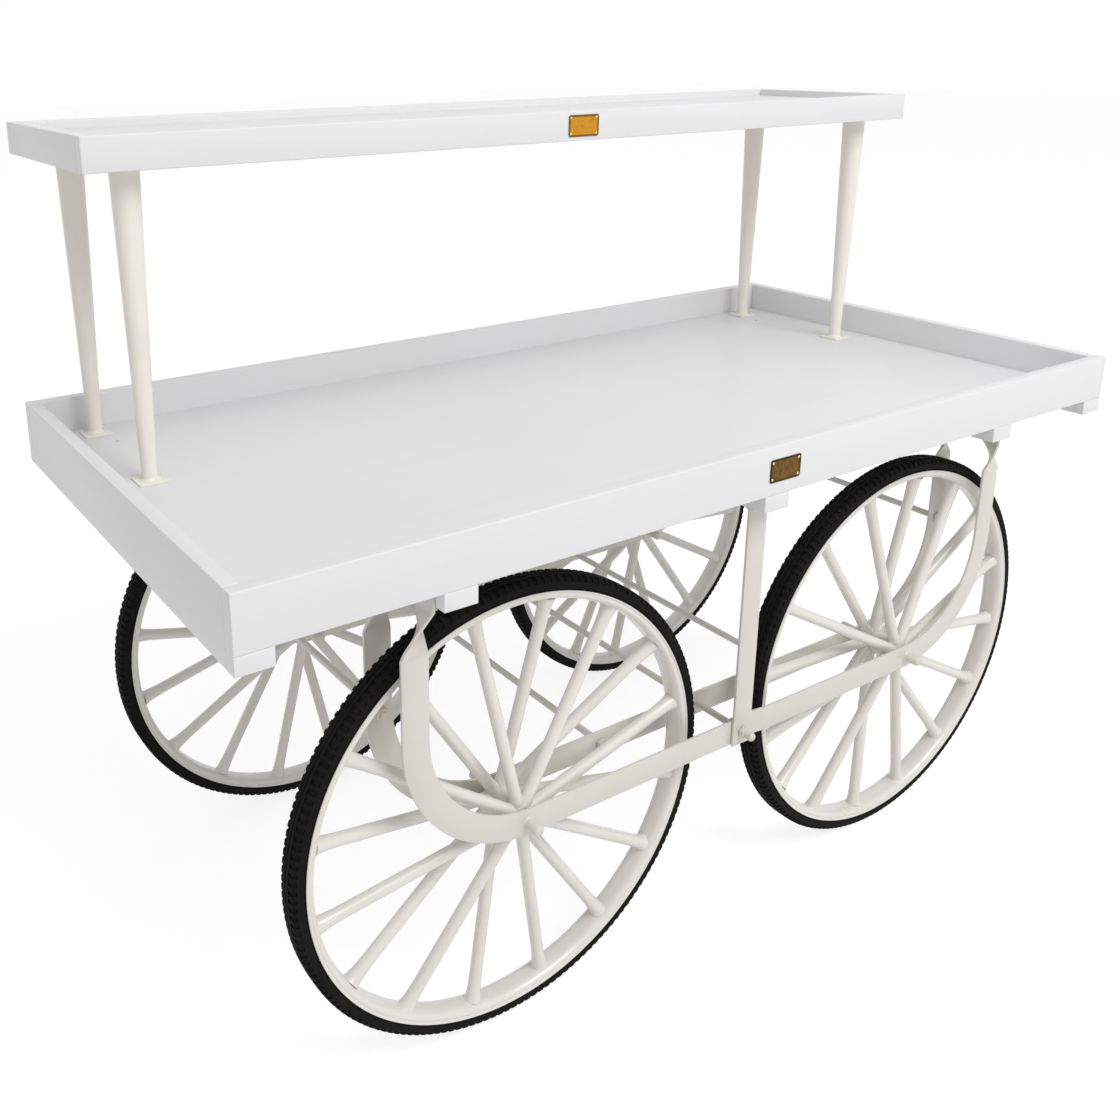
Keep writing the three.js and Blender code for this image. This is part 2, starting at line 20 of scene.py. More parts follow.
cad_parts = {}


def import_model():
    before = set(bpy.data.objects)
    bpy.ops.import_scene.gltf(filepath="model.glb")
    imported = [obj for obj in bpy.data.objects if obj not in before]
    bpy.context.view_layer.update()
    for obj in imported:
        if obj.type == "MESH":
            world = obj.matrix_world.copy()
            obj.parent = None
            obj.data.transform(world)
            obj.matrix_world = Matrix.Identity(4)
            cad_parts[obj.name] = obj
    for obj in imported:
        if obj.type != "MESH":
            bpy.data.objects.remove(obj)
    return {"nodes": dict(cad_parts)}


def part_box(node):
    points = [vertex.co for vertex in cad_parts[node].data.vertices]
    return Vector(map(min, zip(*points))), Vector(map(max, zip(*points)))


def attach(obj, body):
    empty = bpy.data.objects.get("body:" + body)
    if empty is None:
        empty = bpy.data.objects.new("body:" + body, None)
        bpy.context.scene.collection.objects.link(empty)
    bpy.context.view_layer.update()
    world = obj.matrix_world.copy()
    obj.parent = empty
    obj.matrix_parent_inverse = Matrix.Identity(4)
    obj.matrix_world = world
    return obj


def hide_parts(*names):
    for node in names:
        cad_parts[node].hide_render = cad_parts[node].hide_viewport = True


LOG = logging.getLogger("market_cart")

Point = tuple[float, float, float]
Colour = tuple[float, float, float]
Section = list[tuple[float, float]]
Piece = bpy.types.Object
PlaceTest = Callable[[Vector, Vector], bool]

FRAME_BODY = "cart_frame"
WHITE = (1.0, 1.0, 1.0, 1.0)
BOTH = (-1, 1)
ORIGIN = (0.0, 0.0, 0.0)

# Places nearer than a hair count as one, and a face whose normal is square on looks along an axis.
HAIR = 0.0006
SQUARE_ON = 0.9


class Axis(Enum):
    """The axis that a board's grain, a rod or a turned piece lies along."""

    X = 0
    Y = 1
    Z = 2


class Place(Enum):
    """A part of the cart that the frame's nodes name."""

    @property
    def word(self) -> str:
        """The place's name as the nodes spell it."""
        return self.name.lower()


class Quarter(Place):
    """One quarter of the cart, as the signs of its X and Y."""

    FRONT_LEFT = (-1, -1)
    FRONT_RIGHT = (1, -1)
    REAR_LEFT = (-1, 1)
    REAR_RIGHT = (1, 1)


class End(Place):
    """The front or the rear of the cart, as the sign of its Y."""

    FRONT = -1
    REAR = 1


def tinted(colour: Colour, tint: Colour) -> Colour:
    """A colour times a tint."""
    return tuple(part * share for part, share in zip(colour, tint))


def both_sides(half: Section, closed: bool = True) -> Section:
    """A section from its half on one side of the middle plane, as a loop unless it ends on the axis."""
    whole = [*half, *((out, -along) for out, along in reversed(half))]
    return [*whole, whole[0]] if closed else whole


class Signal:
    """A number on its way through a material's nodes. Sums on it add Math nodes."""

    def __init__(self, recipe: Recipe, socket: bpy.types.NodeSocket) -> None:
        """Wraps an output socket of a recipe's node."""
        self.recipe = recipe
        self.socket = socket

    def _sum(self, operation: str, first: Signal | float, second: Signal | float) -> Signal:
        """The result of one Math node."""
        return self.recipe.add("ShaderNodeMath", {"operation": operation}, {0: first, 1: second})

    def __add__(self, other: Signal | float) -> Signal:
        """This number plus another."""
        return self._sum("ADD", self, other)

    def __radd__(self, other: float) -> Signal:
        """A plain number plus this one."""
        return self._sum("ADD", other, self)

    def __sub__(self, other: Signal | float) -> Signal:
        """This number less another."""
        return self._sum("SUBTRACT", self, other)

    def __rsub__(self, other: float) -> Signal:
        """A plain number less this one."""
        return self._sum("SUBTRACT", other, self)

    def __mul__(self, other: Signal | float) -> Signal:
        """This number times another."""
        return self._sum("MULTIPLY", self, other)

    def __rmul__(self, other: float) -> Signal:
        """A plain number times this one."""
        return self._sum("MULTIPLY", other, self)

    def span(self, low: float, high: float) -> Signal:
        """Stretches low to high over 0 to 1, softly, and holds the ends."""
        sockets = {"Value": self, "From Min": low, "From Max": high}
        return self.recipe.add("ShaderNodeMapRange", {"interpolation_type": "SMOOTHSTEP"}, sockets)


class Recipe:
    """The nodes of one material, or of the world."""

    def __init__(self, owner: bpy.types.Material | bpy.types.World) -> None:
        """Starts from an empty node tree.

        Args:
            owner: The new material or world.
        """
        owner.use_nodes = True
        self.tree = owner.node_tree
        self.tree.nodes.clear()

    def add(
        self,
        kind: str,
        settings: dict[str, object] | None = None,
        sockets: dict[str | int, object] | None = None,
        output: str | int = 0,
    ) -> Signal:
        """Adds one node of any type.

        Args:
            kind: The node's type.
            settings: Its properties, set before its sockets.
            sockets: Values or signals for its inputs, by name or number.
            output: The output to return.

        Returns:
            The chosen output.
        """
        node = self.tree.nodes.new(kind)
        for name, value in (settings or {}).items():
            setattr(node, name, value)
        for name, value in (sockets or {}).items():
            if isinstance(value, Signal):
                self.tree.links.new(value.socket, node.inputs[name])
            else:
                node.inputs[name].default_value = value
        return Signal(self, node.outputs[output] if node.outputs else None)

    def here(self) -> Signal:
        """Where a surface point lies in the cart."""
        return self.add("ShaderNodeTexCoord", output="Object")

    def place(self, stretch: Point = (1.0, 1.0, 1.0)) -> Signal:
        """Where a surface point lies, for a pattern that is finer along an axis by the stretch given."""
        return self.add("ShaderNodeMapping", None, {"Vector": self.here(), "Scale": stretch})

    def noise(self, where: Signal, scale: float, detail: float = 3.0, roughness: float = 0.5) -> Signal:
        """Soft noise between about 0 and 1, with a scale in features to the metre."""
        sockets = {"Vector": where, "Scale": scale, "Detail": detail, "Roughness": roughness}
        return self.add("ShaderNodeTexNoise", None, sockets)

    def blend(self, share: Signal, first: Signal | Colour, second: Signal | Colour) -> Signal:
        """Mixes two colours, by how much of the second one shows."""
        pair = [colour if isinstance(colour, Signal) else (*colour, 1.0) for colour in (first, second)]
        return self.add("ShaderNodeMix", {"data_type": "RGBA"}, {0: share, 6: pair[0], 7: pair[1]}, 2)

    def relief(self, height: Signal, depth: float, strength: float) -> Signal:
        """Turns a height into a bumped normal. A height of 1 stands for the depth, in metres."""
        sockets = {"Height": height, "Distance": depth, "Strength": strength}
        return self.add("ShaderNodeBump", None, sockets)

    def surface(self, sockets: dict[str, object]) -> None:
        """Ends the recipe in one principled shader with these sockets."""
        shader = self.add("ShaderNodeBsdfPrincipled", None, sockets)
        self.add("ShaderNodeOutputMaterial", None, {"Surface": shader})


@dataclass(frozen=True)
class Finish:
    """What every finish has: a name of its own, a slot in the record and a base colour."""

    name: str
    slot: str
    colour: Colour

    def material(self) -> bpy.types.Material:
        """Makes the material, or gives the one made before.

        Returns:
            The material.
        """
        known = bpy.data.materials.get(self.name)
        if known is not None:
            return known
        made = bpy.data.materials.new(self.name)
        self.mix(Recipe(made))
        return made

    def mix(self, recipe: Recipe) -> None:
        """Fills in the material's nodes, from an empty recipe."""
        raise NotImplementedError


@dataclass(frozen=True)
class BoardPaint(Finish):
    """Satin white paint, brushed along a board, with the wood's grain just showing through."""

    name: str = "brushed_board_paint"
    slot: str = "board_paint"
    colour: Colour = (0.80, 0.80, 0.81)
    grain: Axis = Axis.X

    def mix(self, recipe: Recipe) -> None:
        """Fills in the material's nodes.

        Args:
            recipe: The empty recipe.
        """
        fine = [260.0, 260.0, 260.0]
        broad = [26.0, 26.0, 26.0]
        fine[self.grain.value] = 5.0
        broad[self.grain.value] = 1.4
        strokes = recipe.noise(recipe.place(tuple(fine)), 1.0, 4.0, 0.55)
        grain = recipe.noise(recipe.place(tuple(broad)), 1.0, 5.0, 0.62)
        cloud = recipe.noise(recipe.place(), 2.6, 2.0, 0.5)
        lines = grain.span(0.5, 0.72)
        warm = tinted(self.colour, (0.975, 0.97, 0.955))
        soft = recipe.blend(cloud.span(0.35, 0.75) * 0.5, self.colour, warm)
        shade = tinted(self.colour, (0.93, 0.93, 0.93))
        recipe.surface({
            "Base Color": recipe.blend(lines * 0.22 + strokes.span(0.5, 0.8) * 0.12, soft, shade),
            "Roughness": 0.33 + strokes * 0.12 + cloud * 0.06,
            "Normal": recipe.relief(strokes * 0.5 + (1.0 - lines) * 0.5, 0.00022, 0.55),
            "Coat Weight": 0.12,
            "Coat Roughness": 0.2,
        })


@dataclass(frozen=True)
class SteelPaint(Finish):
    """Sprayed satin paint on steel: fine orange peel, a faintly clouded tone and a little dust in scattered
    specks.
    """

    name: str = "sprayed_steel_paint"
    slot: str = "steel_paint"
    colour: Colour = (0.69, 0.675, 0.617)
    gloss: float = 0.3

    def mix(self, recipe: Recipe) -> None:
        """Fills in the material's nodes.

        Args:
            recipe: The empty recipe.
        """
        here = recipe.place()
        peel = recipe.noise(here, 420.0, 2.0, 0.4)
        cloud = recipe.noise(here, 9.0, 4.0, 0.6)
        specks = recipe.noise(here, 150.0, 3.0, 0.7).span(0.7, 0.78)
        dull = tinted(self.colour, (0.93, 0.92, 0.90))
        grime = tinted(self.colour, (0.66, 0.62, 0.54))
        soft = recipe.blend(cloud.span(0.35, 0.75) * 0.6, self.colour, dull)
        recipe.surface({
            "Base Color": recipe.blend(specks * 0.16, soft, grime),
            "Roughness": self.gloss + cloud * 0.12 + specks * 0.15,
            "Normal": recipe.relief(peel, 0.00012, 0.5),
            "Coat Weight": 0.25,
            "Coat Roughness": 0.14,
        })


@dataclass(frozen=True)
class PostPaint(SteelPaint):
    """The warmer paint on the shelf's posts."""

    name: str = "sprayed_post_paint"
    slot: str = "post_paint"
    colour: Colour = (0.85, 0.83, 0.755)
    gloss: float = 0.26


@dataclass(frozen=True)
class WheelPaint(SteelPaint):
    """The whiter, glossier paint on the rims, hubs and spokes."""

    name: str = "sprayed_wheel_paint"
    colour: Colour = (0.77, 0.757, 0.708)
    gloss: float = 0.2


@dataclass(frozen=True)
class ScrewSteel(SteelPaint):
    """Screw heads whose paint has gone grey all over."""

    name: str = "screw_steel"
    colour: Colour = (0.52, 0.51, 0.47)
    gloss: float = 0.36


@dataclass(frozen=True)
class TyreRubber(Finish):
    """Matt black rubber with fine moulding grain and a trace of dust."""

    name: str = "moulded_tyre_rubber"
    slot: str = "tyre_rubber"
    colour: Colour = (0.0085, 0.0083, 0.0078)
    dust: Colour = (0.030, 0.029, 0.026)

    def mix(self, recipe: Recipe) -> None:
        """Fills in the material's nodes.

        Args:
            recipe: The empty recipe.
        """
        here = recipe.place()
        grain = recipe.noise(here, 900.0, 3.0, 0.6)
        dusty = recipe.noise(here, 14.0, 5.0, 0.65).span(0.5, 0.8)
        recipe.surface({
            "Base Color": recipe.blend(dusty * 0.45 + grain * 0.1, self.colour, self.dust),
            "Roughness": 0.66 + dusty * 0.2 + grain * 0.1,
            "Specular IOR Level": 0.06,
            "Normal": recipe.relief(grain, 0.00018, 0.6),
        })


@dataclass(frozen=True)
class Brass(Finish):
    """Brass, bright or aged, with brushed lines, tarnish in blots and, on a plate, a dark border."""

    name: str = "brushed_brass"
    slot: str = "bright_brass"
    colour: Colour = (0.64, 0.30, 0.028)
    tarnish: Colour = (0.36, 0.155, 0.018)
    border: Colour = (0.125, 0.095, 0.022)
    age: float = 0.35
    gloss: float = 0.28
    middle: tuple[float, float] = (0.0, 0.0)
    inner_half: tuple[float, float] = (0.0, 0.0)

    def _on_border(self, recipe: Recipe) -> Signal:
        """Whether a point of the plate lies outside its sunk middle.

        Args:
            recipe: The recipe.

        Returns:
            1 on the border and 0 in the middle.
        """
        here = recipe.here()
        outside: Signal | float = 0.0
        for output, middle, half in zip((0, 2), self.middle, self.inner_half):
            off = recipe.add("ShaderNodeSeparateXYZ", None, {0: here}, output) - middle
            past = (off * off * (1.0 / half ** 2)).span(0.95, 1.05)
            outside = outside + past * (1.0 - outside)
        return outside

    def mix(self, recipe: Recipe) -> None:
        """Fills in the material's nodes.

        Args:
            recipe: The empty recipe.
        """
        brushed = recipe.noise(recipe.place((60.0, 900.0, 900.0)), 1.0, 3.0, 0.6)
        blots = recipe.noise(recipe.place(), 130.0, 5.0, 0.65)
        spoiled = blots.span(0.62 - 0.4 * self.age, 0.9 - 0.3 * self.age)
        colour = recipe.blend(spoiled * (0.4 + 0.6 * self.age), self.colour, self.tarnish)
        if self.inner_half[0]:
            colour = recipe.blend(self._on_border(recipe) * (0.7 + blots * 0.3), colour, self.border)
        recipe.surface({
            "Base Color": colour,
            "Metallic": 1.0 - spoiled * (0.35 * self.age),
            "Roughness": self.gloss + brushed * 0.14 + spoiled * 0.22,
            "Normal": recipe.relief(brushed, 0.00006, 0.6),
        })


@dataclass(frozen=True)
class AgedBrass(Brass):
    """The darkened brass of the deck's plate."""

    name: str = "darkened_brass"
    slot: str = "aged_brass"
    colour: Colour = (0.205, 0.108, 0.024)
    tarnish: Colour = (0.085, 0.044, 0.010)
    border: Colour = (0.036, 0.027, 0.012)
    age: float = 0.6
    gloss: float = 0.34


@dataclass(frozen=True)
class RivetBrass(Brass):
    """The paler brass of small rivets."""

    name: str = "rivet_brass"
    colour: Colour = (0.80, 0.66, 0.42)
    tarnish: Colour = (0.42, 0.30, 0.16)


@dataclass(frozen=True)
class BushNylon(Finish):
    """Off-white turned nylon, with faint rings of the tool and a little grease."""

    name: str = "turned_bush_nylon"
    slot: str = "bush_nylon"
    colour: Colour = (0.74, 0.73, 0.69)
    grease: Colour = (0.46, 0.43, 0.36)

    def mix(self, recipe: Recipe) -> None:
        """Fills in the material's nodes.

        Args:
            recipe: The empty recipe.
        """
        rings = recipe.noise(recipe.place((40.0, 1400.0, 40.0)), 1.0, 3.0, 0.5)
        greasy = recipe.noise(recipe.place(), 110.0, 4.0, 0.6).span(0.55, 0.75)
        recipe.surface({
            "Base Color": recipe.blend(greasy * 0.3, self.colour, self.grease),
            "Roughness": 0.42 + rings * 0.12 - greasy * 0.14,
            "Normal": recipe.relief(rings, 0.00008, 0.5),
        })


class Bench:
    """Blender's modelling tools, called as they are by hand."""

    @staticmethod
    def take(*pieces: Piece) -> None:
        """Selects only some pieces.

        Args:
            pieces: The pieces. The first becomes the active one.
        """
        for other in bpy.context.selected_objects:
            other.select_set(False)
        for piece in pieces:
            piece.select_set(True)
        bpy.context.view_layer.objects.active = pieces[0] if pieces else None

    @classmethod
    def settle(cls, piece: Piece, name: str) -> Piece:
        """Puts a piece's place, turn and size into its mesh, and names it.

        Args:
            piece: The piece.
            name: Its name.

        Returns:
            The same piece.
        """
        cls.take(piece)
        bpy.ops.object.transform_apply(location=True, rotation=True, scale=True)
        piece.name = name
        piece.data.name = name
        return piece

    @classmethod
    def block(cls, name: str, low: Sequence[float], high: Sequence[float]) -> Piece:
        """A block between two opposite corners.

        Args:
            name: Its name.
            low: Its lowest corner.
            high: Its highest corner.

        Returns:
            The block.
        """
        cls.take()
        centre = [(near + far) / 2 for near, far in zip(low, high)]
        bpy.ops.mesh.primitive_cube_add(size=1, location=centre)
        piece = bpy.context.object
        piece.scale = [far - near for near, far in zip(low, high)]
        return cls.settle(piece, name)

    @classmethod
    def round(
        cls, name: str, radius: float, length: float, centre: Point, axis: Axis, sides: int
    ) -> Piece:
        """A round bar.

        Args:
            name: Its name.
            radius: Its radius.
            length: Its length.
            centre: Its middle.
            axis: The axis that it lies along: X or Y.
            sides: How many sides it has.

        Returns:
            The bar.
        """
        cls.take()
        turn = (0.0, math.pi / 2, 0.0) if axis is Axis.X else (-math.pi / 2, 0.0, 0.0)
        bpy.ops.mesh.primitive_cylinder_add(
            vertices=sides, radius=radius, depth=length, location=centre, rotation=turn
        )
        return cls.settle(bpy.context.object, name)

    @classmethod
    @contextmanager
    def editing(cls, piece: Piece, kind: str = "FACE", first: str = "DESELECT") -> Iterator[None]:
        """Opens a piece in edit mode.

        Args:
            piece: The piece.
            kind: What is selected: VERT, EDGE or FACE.
            first: SELECT to start with all of it selected.

        Yields:
            Nothing.
        """
        cls.take(piece)
        bpy.ops.object.mode_set(mode="EDIT")
        bpy.ops.mesh.select_mode(type=kind)
        bpy.ops.mesh.select_all(action=first)
        yield
        bpy.ops.object.mode_set(mode="OBJECT")

    @staticmethod
    def pick_faces(piece: Piece, test: PlaceTest) -> None:
        """Selects the faces that pass a test.

        Args:
            piece: The piece, in edit mode.
            test: Takes a face's centre and normal.
        """
        grid = bmesh.from_edit_mesh(piece.data)
        grid.normal_update()
        for part in grid.faces:
            part.select_set(test(part.calc_center_median(), part.normal))
        grid.select_flush_mode()
        bmesh.update_edit_mesh(piece.data)

    @staticmethod
    def pick_edges(piece: Piece, test: PlaceTest) -> None:
        """Selects the edges that pass a test.

        Args:
            piece: The piece, in edit mode.
            test: Takes an edge's two ends.
        """
        grid = bmesh.from_edit_mesh(piece.data)
        for part in grid.edges:
            part.select_set(test(part.verts[0].co, part.verts[1].co))
        grid.select_flush_mode()
        bmesh.update_edit_mesh(piece.data)

    @classmethod
    def pick_facing(cls, piece: Piece, axis: Axis, *signs: int) -> None:
        """Selects the faces that look along an axis.

        Args:
            piece: The piece, in edit mode.
            axis: The axis.
            signs: Which way they look along it: 1, -1 or both.
        """
        cls.pick_faces(
            piece, lambda centre, normal: any(sign * normal[axis.value] > SQUARE_ON for sign in signs)
        )

    @staticmethod
    def push(step: Sequence[float]) -> None:
        """Extrudes what is selected by a step along X, Y and Z."""
        bpy.ops.mesh.extrude_region_move(TRANSFORM_OT_translate={"value": tuple(step)})

    @staticmethod
    def swell(factor: Sequence[float], centre: Sequence[float]) -> None:
        """Scales what is selected along X, Y and Z about a point."""
        bpy.ops.transform.resize(value=tuple(factor), center_override=tuple(centre))

    @staticmethod
    def turn(angle: float, axis: Axis, centre: Sequence[float]) -> None:
        """Turns what is selected about a point, anticlockwise seen from the axis's positive end."""
        bpy.ops.transform.rotate(value=-angle, orient_axis=axis.name, center_override=tuple(centre))

    @classmethod
    def tidy_faces(cls, piece: Piece) -> None:
        """Merges doubles and points every face outwards.

        Args:
            piece: The piece.
        """
        with cls.editing(piece, "VERT", "SELECT"):
            bpy.ops.mesh.remove_doubles(threshold=0.00002)
            bpy.ops.mesh.normals_make_consistent(inside=False)

    @classmethod
    def lathe(
        cls, name: str, section: Section, steps: int, centre: Point = ORIGIN, axis: Axis = Axis.Y
    ) -> Piece:
        """Turns a section about an axis.

        Args:
            name: The piece's name.
            section: Points as distance from the axis and place along it.
            steps: How many steps make the full turn.
            centre: The point on the axis that the places count from.
            axis: The axis: Y or Z.

        Returns:
            The turned piece.
        """
        along = Vector((0, 1, 0)) if axis is Axis.Y else Vector((0, 0, 1))
        points = [Vector(centre) + Vector((1, 0, 0)) * out + along * place for out, place in section]
        cls.take()
        bpy.ops.mesh.primitive_plane_add(size=0.001, location=points[0])
        piece = cls.settle(bpy.context.object, name)
        with cls.editing(piece, "VERT", "SELECT"):
            bpy.ops.mesh.merge(type="CENTER")
            for here, there in pairwise(points):
                cls.push(there - here)
            bpy.ops.mesh.select_all(action="SELECT")
            bpy.ops.mesh.remove_doubles(threshold=0.00001)
            bpy.ops.mesh.select_all(action="SELECT")
            bpy.ops.mesh.spin(steps=steps, angle=2 * math.pi, center=centre, axis=along)
        cls.tidy_faces(piece)
        return piece

    @classmethod
    def smooth(cls, piece: Piece, angle: float = 35.0) -> Piece:
        """Shades a piece smooth.

        Args:
            piece: The piece.
            angle: The least angle of an edge that stays sharp, in degrees.

        Returns:
            The same piece.
        """
        cls.take(piece)
        bpy.ops.object.shade_smooth_by_angle(angle=math.radians(angle))
        return piece

    @classmethod
    def round_edges(cls, piece: Piece, width: float, angle: float = 30.0, shade: float = 35.0) -> Piece:
        """Rounds a piece's sharp edges and shades it smooth.

        Args:
            piece: The piece.
            width: How far the rounding reaches.
            angle: The least angle of an edge that is rounded, in degrees.
            shade: The least angle of an edge that stays sharp, in degrees.

        Returns:
            The same piece.
        """
        rounding = piece.modifiers.new("Rounded edges", "BEVEL")
        rounding.width = width
        rounding.segments = 2
        rounding.limit_method = "ANGLE"
        rounding.angle_limit = math.radians(angle)
        cls.take(piece)
        bpy.ops.object.modifier_apply(modifier=rounding.name)
        return cls.smooth(piece, shade)

    @classmethod
    def copy(cls, piece: Piece, name: str, shift: Sequence[float] = ORIGIN) -> Piece:
        """Copies a piece with its own mesh.

        Args:
            piece: The piece.
            name: The copy's name.
            shift: How far the copy is moved.

        Returns:
            The copy.
        """
        cls.take(piece)
        bpy.ops.object.duplicate(linked=False)
        twin = bpy.context.object
        twin.location = shift
        return cls.settle(twin, name)

    @classmethod
    def mirrored(cls, piece: Piece, name: str, signs: Sequence[int]) -> Piece:
        """Copies a piece to the other side of the cart's middle.

        Args:
            piece: The piece.
            name: The copy's name.
            signs: The signs of X, Y and Z.

        Returns:
            The copy.
        """
        twin = cls.copy(piece, name)
        with cls.editing(twin, "VERT", "SELECT"):
            cls.swell(signs, ORIGIN)
            bpy.ops.mesh.normals_make_consistent(inside=False)
        return twin

    @classmethod
    def join(cls, pieces: Sequence[Piece], name: str) -> Piece:
        """Joins pieces into one.

        Args:
            pieces: The pieces.
            name: The name of the whole.

        Returns:
            The whole.
        """
        cls.take(*pieces)
        bpy.ops.object.join()
        return cls.settle(bpy.context.object, name)


@dataclass
class Group:
    """Pieces that are built together, each with its finish, its body and the nodes that it stands for."""

    made: list[tuple[Piece, Finish, str, tuple[str, ...]]] = field(default_factory=list, init=False)

    def keep(self, piece: Piece, finish: Finish, *nodes: str, body: str = FRAME_BODY) -> None:
        """Notes a finished piece, the nodes that it replaces and the body that it rides on."""
        self.made.append((piece, finish, body, nodes))

    def keep_copies(
        self,
        copy: Callable[[Piece, str, Point], Piece],
        model: Piece,
        ending: str,
        finish: Finish,
        places: dict[str, Point],
    ) -> None:
        """Keeps a copy of a model for each node, and clears the model away.

        Args:
            copy: How it is copied: Bench.copy or Bench.mirrored.
            model: The model.
            ending: What each copy's name adds to its node's.
            finish: The copies' finish.
            places: For each node, how far its copy is moved, or the signs that mirror it.
        """
        for node, place in places.items():
            self.keep(copy(model, node + ending, place), finish, node)
        bpy.data.objects.remove(model)

    def build(self) -> None:
        """Makes the pieces and keeps them."""
        raise NotImplementedError

    def dress(self) -> None:
        """Gives each piece its material, its body and the nodes that it stands for."""
        for piece, finish, body, nodes in self.made:
            piece.data.materials.clear()
            piece.data.materials.append(finish.material())
            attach(piece, body)
            if nodes:
                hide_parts(*nodes)


@dataclass
class Boards(Group):
    """The painted timber of the deck and shelf."""

    nodes: dict[str, Piece]
    lengthwise: tuple[str, ...] = (
        "deck_panel", "deck_front_rim", "deck_rear_rim", "shelf_panel", "shelf_front_rim", "shelf_rear_rim",
    )
    crosswise: tuple[str, ...] = (
        "deck_left_rim", "deck_right_rim", "shelf_left_rim", "shelf_right_rim", "cross_batten_left_end",
        "cross_batten_left", "cross_batten_centre", "cross_batten_right", "cross_batten_right_end",
    )
    cleats: tuple[str, ...] = ("shelf_cleat_left", "shelf_cleat_centre", "shelf_cleat_right")
    along: Finish = BoardPaint()
    across: Finish = BoardPaint(name="brushed_board_paint_crosswise", grain=Axis.Y)
    edge_round: float = 0.0016
    panel_round: float = 0.0008
    seam_height: float = 0.819
    seam_start: float = 0.85

    def _eased(self, one: Vector, other: Vector) -> bool:
        """Whether an edge is eased: all are, but the painted-over seam above the end battens."""
        at_seam = max(abs(one.z - self.seam_height), abs(other.z - self.seam_height)) < HAIR
        return not (at_seam and abs(one.x) > self.seam_start and abs(one.x - other.x) < HAIR)

    def build(self) -> None:
        """Makes each board with eased edges, painted along its grain."""
        for node in self.lengthwise + self.crosswise:
            board = Bench.block(node + "_board", *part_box(node))
            ease = self.panel_round if node.endswith("panel") else self.edge_round
            with Bench.editing(board, "EDGE"):
                Bench.pick_edges(board, self._eased)
                bpy.ops.mesh.bevel(offset=ease, segments=3, affect="EDGES")
            paint = self.along if node in self.lengthwise else self.across
            self.keep(Bench.smooth(board), paint, node)

    def dress(self) -> None:
        """Dresses the boards, and paints the cleats that stay as packed."""
        super().dress()
        for cleat in self.cleats:
            self.nodes[cleat].data.materials.clear()
            self.nodes[cleat].data.materials.append(self.across.material())


@dataclass
class Posts(Group):
    """The four tapered posts that carry the shelf, each welded to a thin foot plate."""

    x: float = 0.814
    rows: tuple[float, float] = (0.106, 0.386)
    floor: float = 0.841
    top: float = 1.3297
    foot_radius: float = 0.012
    top_radius: float = 0.023
    spigot_radius: float = 0.009
    spigot_length: float = 0.016
    weld: float = 0.0035
    plate_half: float = 0.024
    plate_thickness: float = 0.003
    plate_corner: float = 0.003
    plate_edge: float = 0.0006
    sides: int = 48

    def _tube(self, foot: Point) -> Piece:
        """Makes a post, from the weld at its foot up to its spigot.

        Args:
            foot: The middle of its foot, on its plate.

        Returns:
            The post.
        """
        rise = self.top - foot[2]
        end = rise + self.spigot_length
        slope = (self.top_radius - self.foot_radius) / rise
        low, high, spigot, weld = self.foot_radius, self.top_radius, self.spigot_radius, self.weld
        section = [
            (0.0, -0.001), (low + weld, -0.001), (low + weld, 0.0004), (low + 0.62 * weld, 0.0013),
            (low + 0.25 * weld, 0.0026), (low + slope * 0.005, 0.005), (high - slope * 0.004, rise - 0.004),
            (high - 0.0004, rise - 0.0007), (high - 0.0012, rise), (spigot, rise), (spigot, end - 0.001),
            (spigot - 0.001, end), (0.0, end),
        ]
        return Bench.smooth(Bench.lathe("post_tube", section, self.sides, foot, Axis.Z), 40)

    def _foot_plate(self, foot: Point) -> Piece:
        """Makes a foot plate with rounded corners.

        Args:
            foot: The middle of its upper face.

        Returns:
            The plate.
        """
        x, y, upper = foot
        half = self.plate_half
        plate = Bench.block("foot_plate", (x - half, y - half, self.floor), (x + half, y + half, upper))
        with Bench.editing(plate, "EDGE"):
            Bench.pick_edges(plate, lambda one, other: abs(one.z - other.z) > HAIR)
            bpy.ops.mesh.bevel(offset=self.plate_corner, segments=4, affect="EDGES")
        return Bench.round_edges(plate, self.plate_edge)

    def build(self) -> None:
        """Makes one post and copies it to the four places."""
        foot = (self.x, self.rows[0], self.floor + self.plate_thickness)
        whole = Bench.join([self._tube(foot), self._foot_plate(foot)], "shelf_post")
        places = {
            f"shelf_post_{row}_{side}": (sign * self.x - self.x, place - self.rows[0], 0)
            for side, sign in (("left", -1), ("right", 1))
            for row, place in zip(("front", "rear"), self.rows)
        }
        self.keep_copies(Bench.copy, whole, "_tube", PostPaint(), places)


